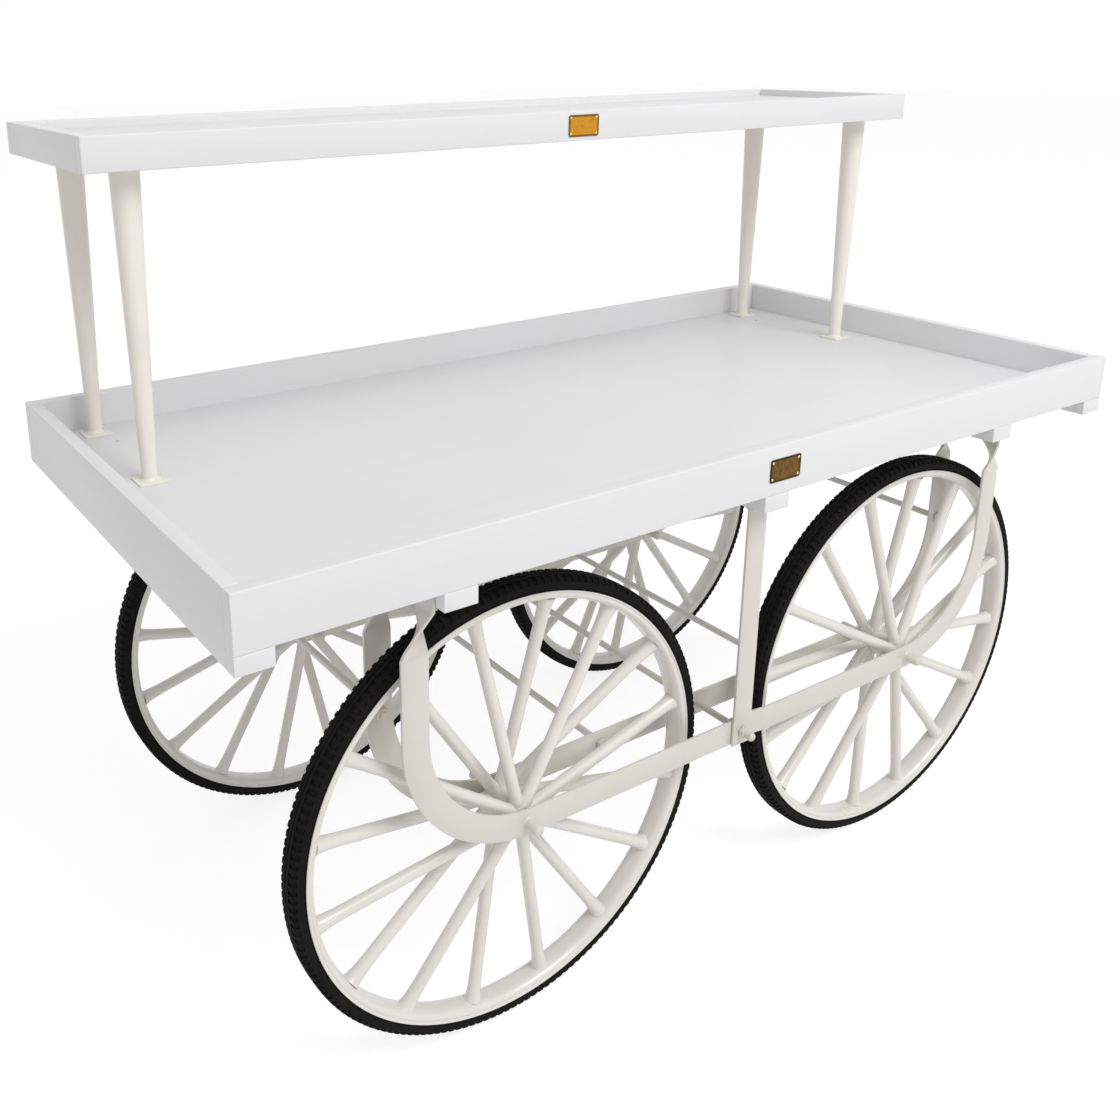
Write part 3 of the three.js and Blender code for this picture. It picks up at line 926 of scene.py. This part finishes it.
@dataclass
class SideFrames(Group):
    """The flat bars that hang the wheels: four outer ones, two inner ones and two centre posts."""

    width: float = 0.044
    thickness: float = 0.005
    edge: float = 0.0011
    leg_x: float = 0.643
    bend_radius: float = 0.204
    bend_steps: int = 24
    axle_height: float = 0.378
    outer_y: float = 0.407
    inner_y: float = 0.307
    tab_top: float = 0.8187
    tab_height: float = 0.035
    tab_inset: float = 0.018
    twist: float = 0.070
    twist_steps: int = 16
    lap: float = 0.022
    lap_offset: float = -0.0053
    joggle: float = 0.040
    joggle_steps: int = 4
    post_width: float = 0.041
    post_y: float = 0.4123
    post_tail: float = 0.024
    post_foot: float = 0.042
    post_foot_height: float = 0.7892
    post_bend: float = 0.008
    post_bend_steps: int = 8

    def _half_bar(self, y: float, start: float, sense: int, lap: float = 0.0) -> Piece:
        """Makes a bar from its level end on the right-hand side outwards and up to its tab.

        Args:
            y: The middle of its thickness.
            start: Where its level end is along X.
            sense: The sense of its twist: 1 or -1.
            lap: How far its lapped end is offset outwards.

        Returns:
            The bar.
        """
        half, thin = self.width / 2, self.thickness / 2
        low, high = self.axle_height - half, self.axle_height + half
        bend_x = self.leg_x - self.bend_radius
        first = self.lap if lap else bend_x
        bar = Bench.block("bar", (start, y + lap - thin, low), (first, y + lap + thin, high))
        with Bench.editing(bar):
            Bench.pick_facing(bar, Axis.X, 1)
            if lap:
                for _ in range(self.joggle_steps):
                    Bench.push((self.joggle / self.joggle_steps, -lap / self.joggle_steps, 0))
                Bench.push((bend_x - self.lap - self.joggle, 0, 0))
            pivot = (bend_x, y, self.axle_height + self.bend_radius)
            bpy.ops.mesh.spin(steps=self.bend_steps, angle=math.pi / 2, center=pivot, axis=(0, 1, 0))
            twist_foot = self.tab_top - self.tab_height - self.twist
            Bench.push((0, 0, twist_foot - pivot[2]))
            before = 0.0
            for step in range(1, self.twist_steps + 1):
                share = step / self.twist_steps
                inset = share ** 2 * self.tab_inset
                Bench.push((before - inset, 0, self.twist / self.twist_steps))
                middle = (self.leg_x - inset, y, twist_foot + share * self.twist)
                Bench.turn(sense * math.pi / 2 / self.twist_steps, Axis.Z, middle)
                before = inset
            Bench.push((0, 0, self.tab_height))
        return bar

    def _keep_bar(self, bar: Piece, sides: dict[str, Point]) -> None:
        """Rounds a bar's edges and keeps its mirrored copies.

        Args:
            bar: The bar.
            sides: The signs of each copy's X, Y and Z, by its node.
        """
        Bench.tidy_faces(bar)
        rounded = Bench.round_edges(bar, self.edge, 40, 30)
        self.keep_copies(Bench.mirrored, rounded, "_flat", SteelPaint(), sides)

    def _outer_bars(self) -> None:
        """Makes the outer bars, the right-hand ones lapped behind the left-hand ones at a centre post."""
        for quarter in Quarter:
            side, end = quarter.value
            lap = self.lap_offset if side > 0 else 0.0
            bar = self._half_bar(self.outer_y, -self.lap, side * end, lap)
            self._keep_bar(bar, {"outer_side_bar_" + quarter.word: (side, end, 1)})

    def _inner_bars(self) -> None:
        """Makes the inner bars, each one length bent up at both ends."""
        for end in End:
            right, left = (self._half_bar(self.inner_y, 0.0, sense) for sense in (end.value, -end.value))
            with Bench.editing(left, "VERT", "SELECT"):
                Bench.swell((-1, 1, 1), ORIGIN)
            for half in (right, left):
                with Bench.editing(half):
                    Bench.pick_faces(half, lambda centre, normal: abs(centre.x) < HAIR)
                    bpy.ops.mesh.delete(type="FACE")
            whole = Bench.join([right, left], "inner_bar")
            self._keep_bar(whole, {"inner_side_bar_" + end.word: (1, end.value, 1)})

    def _centre_posts(self) -> None:
        """Makes the centre posts, each with a foot bent in under the middle batten."""
        half, thin, bend = self.post_width / 2, self.thickness / 2, self.post_bend
        low = (-half, self.post_y - thin, self.axle_height - self.post_tail)
        post = Bench.block("centre_post", low, (half, self.post_y + thin, self.post_foot_height - bend))
        with Bench.editing(post):
            Bench.pick_facing(post, Axis.Z, 1)
            pivot = (0, self.post_y - bend, self.post_foot_height - bend)
            bpy.ops.mesh.spin(steps=self.post_bend_steps, angle=math.pi / 2, center=pivot, axis=(-1, 0, 0))
            Bench.push((0, bend - self.post_foot, 0))
        self._keep_bar(post, {"centre_post_" + end.word: (1, end.value, 1) for end in End})

    def build(self) -> None:
        """Makes all the bars."""
        self._outer_bars()
        self._inner_bars()
        self._centre_posts()


@dataclass
class CrossRods(Group):
    """The round rods between the side frames, their nuts, the cap nuts and the stub axles."""

    rod_radius: float = 0.006
    rod_chamfer: float = 0.0012
    tail: float = 0.003
    lower_x: float = 0.222
    upper_x: float = 0.643
    axle_height: float = 0.378
    upper_height: float = 0.582
    through_reach: float = 0.4348
    nut_radius: float = 0.0105
    nut_thickness: float = 0.010
    nut_face: float = 0.3098
    nut_chamfer: float = 0.0011
    nut_crown: float = 1.16
    nut_edge: float = 0.0004
    cap_radius: float = 0.0076
    cap_bore: float = 0.0074
    cap_bevel: float = 0.0007
    cap_length: float = 0.026
    cap_dome: float = 0.006
    cap_depth: float = 0.0203
    cap_seat: float = 0.4151
    gap: float = 0.0003
    axle_radius: float = 0.009
    axle_chamfer: float = 0.0014
    axle_inner: float = 0.262
    axle_outer: float = 0.436
    bead: float = 0.0028
    bar_outer_face: float = 0.4095
    bar_inner_face: float = 0.3045
    wheel_x: float = 0.447
    sides: int = 32

    def _nut(self, centre: Point) -> Piece:
        """Makes a hexagon nut whose corners are chamfered on both faces.

        Args:
            centre: Its middle.

        Returns:
            The nut.
        """
        nut = Bench.round("nut", self.nut_radius, self.nut_thickness / self.nut_crown, centre, Axis.Y, 6)
        with Bench.editing(nut):
            Bench.pick_facing(nut, Axis.Y, *BOTH)
            bpy.ops.mesh.inset(thickness=self.nut_chamfer, use_individual=True)
            Bench.swell((1, self.nut_crown, 1), centre)
        return Bench.round_edges(nut, self.nut_edge, 20, 25)

    def _bolted_rod(self) -> Piece:
        """Makes a rod in the middle of the cart with a nut on each end.

        Returns:
            The rod.
        """
        radius, chamfer = self.rod_radius, self.rod_chamfer
        end = -(self.nut_face + self.nut_thickness + self.tail)
        half = [(0.0, end), (radius - chamfer, end), (radius, end + chamfer)]
        rod = Bench.smooth(Bench.lathe("bolted_rod", both_sides(half, closed=False), self.sides))
        middle = self.nut_face + self.nut_thickness / 2
        return Bench.join([rod, *(self._nut((0, sign * middle, 0)) for sign in BOTH)], "bolted_rod")

    def _cap_nut(self) -> Piece:
        """Makes the front cap nut: a hexagon, and a sleeve with a domed end.

        Returns:
            The cap nut.
        """
        seat, corner, bore, bevel = -self.cap_seat, self.nut_radius, self.cap_bore, self.cap_bevel
        far, flat = seat - self.nut_thickness, corner - self.nut_chamfer
        middle = (0, 0, self.axle_height)
        section = [
            (bore, seat), (flat, seat), (corner, seat - bevel), (corner, far + bevel), (flat, far),
            (bore, far), (bore, seat),
        ]
        hexagon = Bench.lathe("cap_hexagon", section, 6, middle)
        with Bench.editing(hexagon, "VERT", "SELECT"):
            Bench.turn(math.pi / 6, Axis.Y, middle)
        Bench.round_edges(hexagon, self.nut_edge, 20, 25)
        radius, inside, start = self.cap_radius, self.rod_radius + self.gap, seat - self.gap
        shoulder = seat - (self.cap_length - self.cap_dome)
        dome = [
            (radius * math.cos(turn), shoulder - self.cap_dome * math.sin(turn))
            for turn in (math.pi / 2 * step / 8 for step in range(8))
        ]
        floor = seat - self.cap_depth
        section = [
            (0.0, floor), (inside, floor), (inside, start), (radius, start), *dome,
            (0.0, shoulder - self.cap_dome),
        ]
        sleeve = Bench.smooth(Bench.lathe("cap_sleeve", section, self.sides, middle))
        return Bench.join([hexagon, sleeve], "cap_nut")

    def _axle_end(self, end: float, face: float, inwards: int) -> Section:
        """One end of an axle's section, up to and with the weld bead on a bar's face.

        Args:
            end: Where the axle ends along Y.
            face: Where the bar's face is along Y.
            inwards: The sign of the way from the end to the bar.

        Returns:
            The section from the axis to the foot of the bead.
        """
        radius, bead, chamfer = self.axle_radius, self.bead, self.axle_chamfer
        return [
            (0.0, end), (radius - chamfer, end), (radius, end + inwards * chamfer),
            (radius, face - inwards * bead * 1.1), (radius + bead * 0.35, face - inwards * bead * 0.55),
            (radius + bead, face - inwards * 0.0004), (radius + bead, face + inwards * 0.001),
            (radius, face + inwards * 0.001),
        ]

    def _axle(self) -> Piece:
        """Makes the front left axle, with the weld beads that hold it in its two bars.

        Returns:
            The axle.
        """
        outer = self._axle_end(-self.axle_outer, -self.bar_outer_face, 1)
        inner = self._axle_end(-self.axle_inner, -self.bar_inner_face, -1)
        middle = (-self.wheel_x, 0, self.axle_height)
        return Bench.smooth(Bench.lathe("axle", [*outer, *reversed(inner)], self.sides, middle), 50)

    def _through_rod(self, name: str) -> Piece:
        """Makes the rod that goes right through the middle, with chamfered ends.

        Args:
            name: Its name.

        Returns:
            The rod.
        """
        middle = (0, 0, self.axle_height)
        rod = Bench.round(name, self.rod_radius, 2 * self.through_reach, middle, Axis.Y, self.sides)
        with Bench.editing(rod):
            Bench.pick_facing(rod, Axis.Y, *BOTH)
            bpy.ops.mesh.bevel(offset=self.rod_chamfer, segments=1, affect="EDGES")
        return Bench.smooth(rod)

    def build(self) -> None:
        """Makes the rods, cap nuts and axles."""
        paint = SteelPaint()
        levels = (("upper", self.upper_x, self.upper_height), ("lower", self.lower_x, self.axle_height))
        places = {
            f"{level}_cross_rod_{side}": (sign * x, 0, height)
            for level, x, height in levels
            for side, sign in (("left", -1), ("right", 1))
        }
        self.keep_copies(Bench.copy, self._bolted_rod(), "_bolted", paint, places)
        through = "lower_cross_rod_centre"
        self.keep(self._through_rod(through + "_plain"), paint, through)
        ends = {"cap_nut_" + end.word: (1, -end.value, 1) for end in End}
        self.keep_copies(Bench.mirrored, self._cap_nut(), "_domed", paint, ends)
        quarters = {
            "axle_" + quarter.word: (*(-sign for sign in quarter.value), 1) for quarter in Quarter
        }
        self.keep_copies(Bench.mirrored, self._axle(), "_stub", paint, quarters)


@dataclass
class Wheels(Group):
    """Four spoked wheels: solid tyre, channel rim, hub with two rows of flared spokes, and bush."""

    radius: float = 0.378
    x: float = 0.447
    y: float = 0.357
    tyre_lugs: int = 172
    lug_depth: float = 0.0018
    lug_start: float = 0.3708
    lug_inside: float = 0.0094
    rim_base: float = 0.340
    rim_edge: float = 0.356
    rim_steps: int = 144
    spokes: int = 16
    spoke_radius: float = 0.010
    spoke_sides: int = 20
    spoke_foot: float = 1.16
    spoke_root: float = 0.003
    first_step: float = 0.004
    hub_bore: float = 0.0144
    hub_radius: float = 0.0213
    hub_half: float = 0.0382
    hub_steps: int = 48
    row: float = 0.0262
    bush_bore: float = 0.0094
    bush_radius: float = 0.0139
    bush_half: float = 0.0472
    bush_chamfer: float = 0.0008
    bush_steps: int = 40
    left_turn: float = math.pi / 16
    right_turn: float = math.pi / 16 + math.pi / 40

    def _tyre(self) -> Piece:
        """Makes a tyre with shoulder lugs, two ribs and a line round each sidewall.

        Returns:
            The tyre, centred on the origin.
        """
        crown = self.radius
        half = [
            (0.3436, 0.0085), (0.3532, 0.0178), (0.3572, 0.0180), (0.3588, 0.0190), (0.3612, 0.0199),
            (0.3650, 0.0200), (0.3656, 0.0203), (0.3662, 0.0200), (0.3700, 0.0199), (0.3722, 0.0192),
            (0.3748, 0.0176), (0.3766, 0.0160), (crown - 0.0005, 0.0140), (crown - 0.0001, 0.0092),
            (crown - 0.0016, 0.0086), (crown - 0.0016, 0.0074), (crown, 0.0068), (crown, 0.0022),
            (crown - 0.0014, 0.0016),
        ]
        tyre = Bench.lathe("tyre", both_sides(half), 2 * self.tyre_lugs)
        pitch = 2 * math.pi / self.tyre_lugs

        def between_lugs(centre: Vector, normal: Vector) -> bool:
            """Whether a face lies between two lugs on a shoulder."""
            out, turned = math.hypot(centre.x, centre.z), math.atan2(centre.z, centre.x) % pitch
            return out > self.lug_start and abs(centre.y) > self.lug_inside and turned > pitch / 2

        with Bench.editing(tyre):
            Bench.pick_faces(tyre, between_lugs)
            bpy.ops.mesh.extrude_region_shrink_fatten(TRANSFORM_OT_shrink_fatten={"value": -self.lug_depth})
        return Bench.smooth(tyre, 24)

    def _rim(self) -> Piece:
        """Makes a rim: a channel with rolled lips, a groove and a bulge.

        Returns:
            The rim, centred on the origin.
        """
        base, edge = self.rim_base, self.rim_edge
        half = [
            (base, 0.0030), (base + 0.0003, 0.0085), (base + 0.0014, 0.0128), (base + 0.0034, 0.0164),
            (base + 0.0060, 0.0190), (base + 0.0082, 0.0202), (base + 0.0098, 0.0201),
            (base + 0.0112, 0.0193), (base + 0.0122, 0.0192), (base + 0.0132, 0.0199),
            (base + 0.0142, 0.0212), (base + 0.0152, 0.0215), (edge - 0.0002, 0.0212),
            (edge + 0.0004, 0.0203), (edge + 0.0002, 0.0193), (edge - 0.0012, 0.0186),
            (edge - 0.0050, 0.0184), (base + 0.0031, 0.0126), (base + 0.0028, 0.0030),
        ]
        return Bench.smooth(Bench.lathe("rim", both_sides(half), self.rim_steps), 50)

    def _spoke(self) -> Piece:
        """Makes one spoke on the X axis, flared where it meets the rim and welded to the hub.

        Returns:
            The spoke, from its row on the hub to the middle of the rim.
        """
        hub, rim, step, width = self.hub_radius, self.rim_base, self.first_step, self.spoke_foot
        start = hub - self.spoke_root
        middle = (start + step / 2, 0, 0)
        spoke = Bench.round("spoke", self.spoke_radius * width, step, middle, Axis.X, self.spoke_sides)
        stops = [
            (hub + 0.004, 1.12), (hub + 0.009, 1.0), (rim - 0.050, 1.0), (rim - 0.034, 1.02),
            (rim - 0.022, 1.07), (rim - 0.013, 1.14), (rim - 0.006, 1.23), (rim - 0.002, 1.33),
            (rim + 0.0008, 1.44),
        ]
        before = start + step
        with Bench.editing(spoke):
            Bench.pick_facing(spoke, Axis.X, 1)
            for reach, wider in stops:
                Bench.push((reach - before, 0, 0))
                Bench.swell((1, wider / width, wider / width), (reach, 0, 0))
                before, width = reach, wider
        return Bench.smooth(spoke, 50)

    def _hub(self) -> Piece:
        """Makes a hub: a tube with eased ends.

        Returns:
            The hub, centred on the origin.
        """
        end, radius, bore = -self.hub_half, self.hub_radius, self.hub_bore
        half = [
            (bore, end + 0.001), (bore + 0.001, end), (radius - 0.0016, end),
            (radius - 0.0005, end + 0.0005), (radius, end + 0.0016),
        ]
        return Bench.smooth(Bench.lathe("hub", both_sides(half), self.hub_steps))

    def _bush(self) -> Piece:
        """Makes a bush: a thin tube, chamfered at both ends.

        Returns:
            The bush, centred on the origin.
        """
        end, out, bore, chamfer = -self.bush_half, self.bush_radius, self.bush_bore, self.bush_chamfer
        half = [(bore, end + chamfer), (bore + chamfer, end), (out - chamfer, end), (out, end + chamfer)]
        return Bench.smooth(Bench.lathe("bush", both_sides(half), self.bush_steps))

    def _hub_and_spokes(self, turn: float, side: int) -> Piece:
        """Joins a hub and its spokes.

        Args:
            turn: The angle of the first spoke, above the X axis.
            side: The sign of the row that the first spoke stands in.

        Returns:
            The hub with its spokes, centred on the origin.
        """
        model = self._spoke()
        parts = [self._hub()]
        for place in range(self.spokes):
            row = side * self.row * (1 if place % 2 == 0 else -1)
            spoke = Bench.copy(model, "spoke_copy")
            with Bench.editing(spoke, "VERT", "SELECT"):
                lean = math.atan2(row, self.rim_base - self.hub_radius)
                Bench.turn(-lean, Axis.Z, (self.rim_base, 0, 0))
            spoke.rotation_euler = (0, -(turn + 2 * math.pi * place / self.spokes), 0)
            parts.append(Bench.settle(spoke, "spoke_copy"))
        bpy.data.objects.remove(model)
        return Bench.join(parts, "hub_and_spokes")

    def build(self) -> None:
        """Makes the parts of a wheel and copies them to the four quarters."""
        shared = (
            ("tyre", self._tyre(), TyreRubber()),
            ("rim", self._rim(), WheelPaint()),
            ("bush", self._bush(), BushNylon()),
        )
        for quarter in Quarter:
            side, end = quarter.value
            wheel = "wheel_" + quarter.word
            centre = (side * self.x, end * self.y, self.radius)
            for part, model, finish in shared:
                node = f"{wheel}_{part}"
                self.keep(Bench.copy(model, node + "_turned", centre), finish, node, body=wheel)
            node = wheel + "_hub_and_spokes"
            spoked = self._hub_and_spokes(self.left_turn if side < 0 else self.right_turn, end)
            self.keep(Bench.copy(spoked, node + "_welded", centre), WheelPaint(), node, body=wheel)
            bpy.data.objects.remove(spoked)
        for _, model, _ in shared:
            bpy.data.objects.remove(model)


@dataclass
class NamePlates(Group):
    """The two bare plates, each with a raised border and four rivets."""

    corner: float = 0.004
    border: float = 0.0036
    sink: float = 0.0005
    edge: float = 0.0002
    rivet_radius: float = 0.0023
    rivet_inset: float = 0.0052
    rivet_sides: int = 16

    def _plate(self, name: str, low: Sequence[float], high: Sequence[float]) -> Piece:
        """Makes one plate with a raised border.

        Args:
            name: Its name.
            low: Its lowest corner.
            high: Its highest corner.

        Returns:
            The plate.
        """
        plate = Bench.block(name, low, high)
        with Bench.editing(plate, "EDGE"):
            Bench.pick_edges(plate, lambda one, other: abs(one.y - other.y) > HAIR)
            bpy.ops.mesh.bevel(offset=self.corner, segments=6, affect="EDGES")
        with Bench.editing(plate):
            Bench.pick_facing(plate, Axis.Y, -1)
            bpy.ops.mesh.inset(thickness=self.border)
            bpy.ops.mesh.inset(thickness=self.sink)
            bpy.ops.transform.translate(value=(0, self.sink, 0))
        return Bench.round_edges(plate, self.edge, 50)

    def _rivets(self, name: str, low: Sequence[float], high: Sequence[float]) -> Piece:
        """Makes the four domed rivets of a plate.

        Args:
            name: Their name.
            low: The plate's lowest corner.
            high: The plate's highest corner.

        Returns:
            The rivets.
        """
        radius, inset, seat = self.rivet_radius, self.rivet_inset, low[1] + self.sink
        dome = [
            (0.0, 0.0006), (radius, 0.0006), (radius, 0.0), (radius * 0.9, -0.0005),
            (radius * 0.64, -0.0009), (radius * 0.3, -0.0011), (0.0, -0.0011),
        ]
        places = product((low[0] + inset, high[0] - inset), (low[2] + inset, high[2] - inset))
        heads = [
            Bench.smooth(Bench.lathe("rivet", dome, self.rivet_sides, (x, seat, z)), 60)
            for x, z in places
        ]
        return Bench.join(heads, name)

    def build(self) -> None:
        """Makes both plates and their rivets."""
        for node, brass in (("deck_name_plate", AgedBrass), ("shelf_name_plate", Brass)):
            low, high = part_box(node)
            middle = tuple((low[axis] + high[axis]) / 2 for axis in (0, 2))
            inner_half = tuple((high[axis] - low[axis]) / 2 - self.border for axis in (0, 2))
            finish = brass(middle=middle, inner_half=inner_half)
            self.keep(self._plate(node + "_bare", low, high), finish, node)
            self.keep(self._rivets(node + "_rivets", low, high), RivetBrass())


@dataclass
class Screws(Group):
    """The painted-over screws in the foot plates, tabs and post feet, and the greyed ones in the deck."""

    radius: float = 0.0036
    rise: float = 0.0010
    recess: float = 0.0013
    sides: int = 14
    post_x: float = 0.814
    post_rows: tuple[float, float] = (0.106, 0.386)
    plate_inset: float = 0.0185
    plate_top: float = 0.844
    floor_places: tuple[float, float] = (0.795, 0.322)
    floor_top: float = 0.841
    tab_face_x: float = 0.6275
    tab_rows: tuple[float, float] = (0.307, 0.407)
    tab_height: float = 0.801
    tab_spread: float = 0.012
    foot_y: float = 0.384
    foot_underside: float = 0.7867
    foot_spread: float = 0.011

    def _head(self, seat: Point, axis: Axis = Axis.Z, sense: int = 1) -> Piece:
        """Makes one low domed head with a sunk socket.

        Args:
            seat: Where it stands on its surface.
            axis: The axis that it points along: X or Z.
            sense: Which way along that axis: 1 or -1.

        Returns:
            The head.
        """
        radius, rise, recess = self.radius, self.rise, self.recess
        dome = [
            (0.0, -0.0004), (radius, -0.0004), (radius, 0.0001), (radius * 0.86, rise * 0.62),
            (radius * 0.62, rise * 0.94), (recess + 0.0003, rise), (recess, rise - 0.0002),
            (recess * 0.8, rise - 0.0009), (0.0, rise - 0.0009),
        ]
        if axis is Axis.X:
            head = Bench.lathe("screw", dome, self.sides, ORIGIN, Axis.Z)
            with Bench.editing(head, "VERT", "SELECT"):
                Bench.turn(sense * math.pi / 2, Axis.Y, ORIGIN)
            head.location = seat
            Bench.settle(head, "screw")
        else:
            head = Bench.lathe("screw", [(out, sense * up) for out, up in dome], self.sides, seat, axis)
        return Bench.smooth(head, 40)

    def build(self) -> None:
        """Makes the heads, joined and painted by what they hold."""
        inset, (across, along) = self.plate_inset, self.floor_places
        plates = [
            self._head((side * self.post_x + right * inset, row + back * inset, self.plate_top))
            for side, row, right, back in product(BOTH, self.post_rows, BOTH, BOTH)
        ]
        tab_x, spread = self.tab_face_x, self.tab_spread
        tabs = [
            self._head((side * tab_x, end * row + shift * spread, self.tab_height), Axis.X, side)
            for side, end, row, shift in product(BOTH, BOTH, self.tab_rows, BOTH)
        ]
        feet = [
            self._head((shift * self.foot_spread, end * self.foot_y, self.foot_underside), sense=-1)
            for end, shift in product(BOTH, BOTH)
        ]
        floor = [
            self._head((side * across, end * along, self.floor_top)) for side, end in product(BOTH, BOTH)
        ]
        self.keep(Bench.join(plates, "foot_plate_screws"), PostPaint())
        self.keep(Bench.join(tabs, "tab_screws"), SteelPaint())
        self.keep(Bench.join(feet, "post_foot_screws"), SteelPaint())
        self.keep(Bench.join(floor, "deck_floor_screws"), ScrewSteel())


@dataclass
class Studio:
    """The floor, the white surround, the lamp and the camera."""

    eye: Point = (-1.36676, -1.59061, 1.50078)
    yaw: float = 0.5628
    pitch: float = 0.2916
    roll: float = -0.0116
    lens: float = 37.501
    sensor: float = 36.0
    shift: tuple[float, float] = (0.12, -0.15)
    sight: float = 200.0
    surround: float = 0.56
    key_power: float = 210.0
    key_size: float = 3.4
    key_place: Point = (0.75, -4.1, 5.5)
    target: Point = (0.0, 0.0, 0.7)
    floor_reach: float = 30.0
    floor_drop: float = 0.0005
    floor_tone: float = 0.86
    # Strength of the floor's faint painted glow, which lights the cart from below in place of bounce light.
    painted_bounce_glow: float = 0.04
    glow: float = 1.29
    glow_share: float = 0.6

    def camera(self) -> None:
        """Sets up the camera at the photograph's viewpoint."""
        lens = bpy.data.cameras.new("photo_camera")
        lens.sensor_width = self.sensor
        lens.sensor_fit = "HORIZONTAL"
        lens.lens = self.lens
        lens.shift_x, lens.shift_y = self.shift
        lens.clip_end = self.sight
        ahead = Vector((
            math.sin(self.yaw) * math.cos(self.pitch),
            math.cos(self.yaw) * math.cos(self.pitch),
            -math.sin(self.pitch),
        ))
        level = Vector((math.cos(self.yaw), -math.sin(self.yaw), 0.0))
        upright = level.cross(ahead)
        right = level * math.cos(self.roll) + upright * math.sin(self.roll)
        above = upright * math.cos(self.roll) - level * math.sin(self.roll)
        stand = Matrix((right, above, -ahead)).transposed().to_4x4()
        stand.translation = Vector(self.eye)
        camera = bpy.data.objects.new("photo_camera", lens)
        camera.matrix_world = stand
        bpy.context.scene.collection.objects.link(camera)
        bpy.context.scene.camera = camera

    def lamp(self) -> None:
        """Adds one large soft lamp in front and to the right, which looks at the cart."""
        light = bpy.data.lights.new("key_lamp", "AREA")
        light.energy = self.key_power
        light.size = self.key_size
        lamp = bpy.data.objects.new("key_lamp", light)
        look = (Vector(self.target) - Vector(self.key_place)).to_track_quat("-Z", "Y")
        lamp.matrix_world = Matrix.Translation(self.key_place) @ look.to_matrix().to_4x4()
        bpy.context.scene.collection.objects.link(lamp)

    @staticmethod
    def _seen(recipe: Recipe) -> Signal:
        """Whether a ray comes from the camera, a reflection or glass.

        Args:
            recipe: The recipe that asks.

        Returns:
            1 if so and 0 if not.
        """
        kinds = ("Is Camera Ray", "Is Glossy Ray", "Is Transmission Ray")
        camera, gloss, glass = (recipe.add("ShaderNodeLightPath", output=kind) for kind in kinds)
        return recipe.add("ShaderNodeMath", {"operation": "MAXIMUM"}, {0: camera, 1: gloss + glass})

    def sky(self) -> None:
        """Lights the cart evenly all round, and shows plain white behind it."""
        world = bpy.data.worlds.new("studio")
        recipe = Recipe(world)
        light, behind = (
            recipe.add("ShaderNodeBackground", None, {"Color": WHITE, "Strength": strength})
            for strength in (self.surround, 1.0)
        )
        shown = recipe.add("ShaderNodeMixShader", None, {0: self._seen(recipe), 1: light, 2: behind})
        recipe.add("ShaderNodeOutputWorld", None, {"Surface": shown})
        bpy.context.scene.world = world

    def floor(self) -> None:
        """Lays the pale floor, which keeps the cart's shadow and fades to white away from it, and gives off
        a faint painted glow that lights the cart from below.
        """
        Bench.take()
        bpy.ops.mesh.primitive_plane_add(size=2 * self.floor_reach, location=(0, 0, -self.floor_drop))
        sheet = Bench.settle(bpy.context.object, "studio_floor")
        made = bpy.data.materials.new("studio_floor")
        recipe = Recipe(made)
        matt = recipe.add("ShaderNodeBsdfDiffuse", None, {"Color": (*[self.floor_tone] * 3, 1.0)})
        # Besides its white glow for the camera, the floor emits a faint painted glow to every ray, which
        # lights the cart from below in place of bounce light.
        painted_bounce_glow, glow = (
            recipe.add("ShaderNodeEmission", None, {"Color": WHITE, "Strength": strength})
            for strength in (self.painted_bounce_glow, self.glow)
        )
        pale = recipe.add("ShaderNodeAddShader", None, {0: matt, 1: painted_bounce_glow})
        share = self._seen(recipe) * self.glow_share
        soft = recipe.add("ShaderNodeMixShader", None, {0: share, 1: pale, 2: glow})
        recipe.add("ShaderNodeOutputMaterial", None, {"Surface": soft})
        sheet.data.materials.append(made)

    def build(self) -> None:
        """Sets up the whole studio."""
        bpy.context.scene.view_settings.view_transform = "Standard"
        self.camera()
        self.lamp()
        self.sky()
        self.floor()


def main() -> None:
    """Loads the frame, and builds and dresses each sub-assembly."""
    logging.basicConfig(level=logging.INFO, format="%(message)s")
    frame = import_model()
    Bench.take()
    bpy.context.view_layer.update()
    Studio().build()
    boards = Boards(frame["nodes"])
    for part in (boards, Posts(), SideFrames(), CrossRods(), Wheels(), NamePlates(), Screws()):
        part.build()
        part.dress()
        for piece, *_ in part.made:
            LOG.info("%s: %d faces", piece.name, len(piece.data.polygons))


if __name__ == "__main__":
    main()
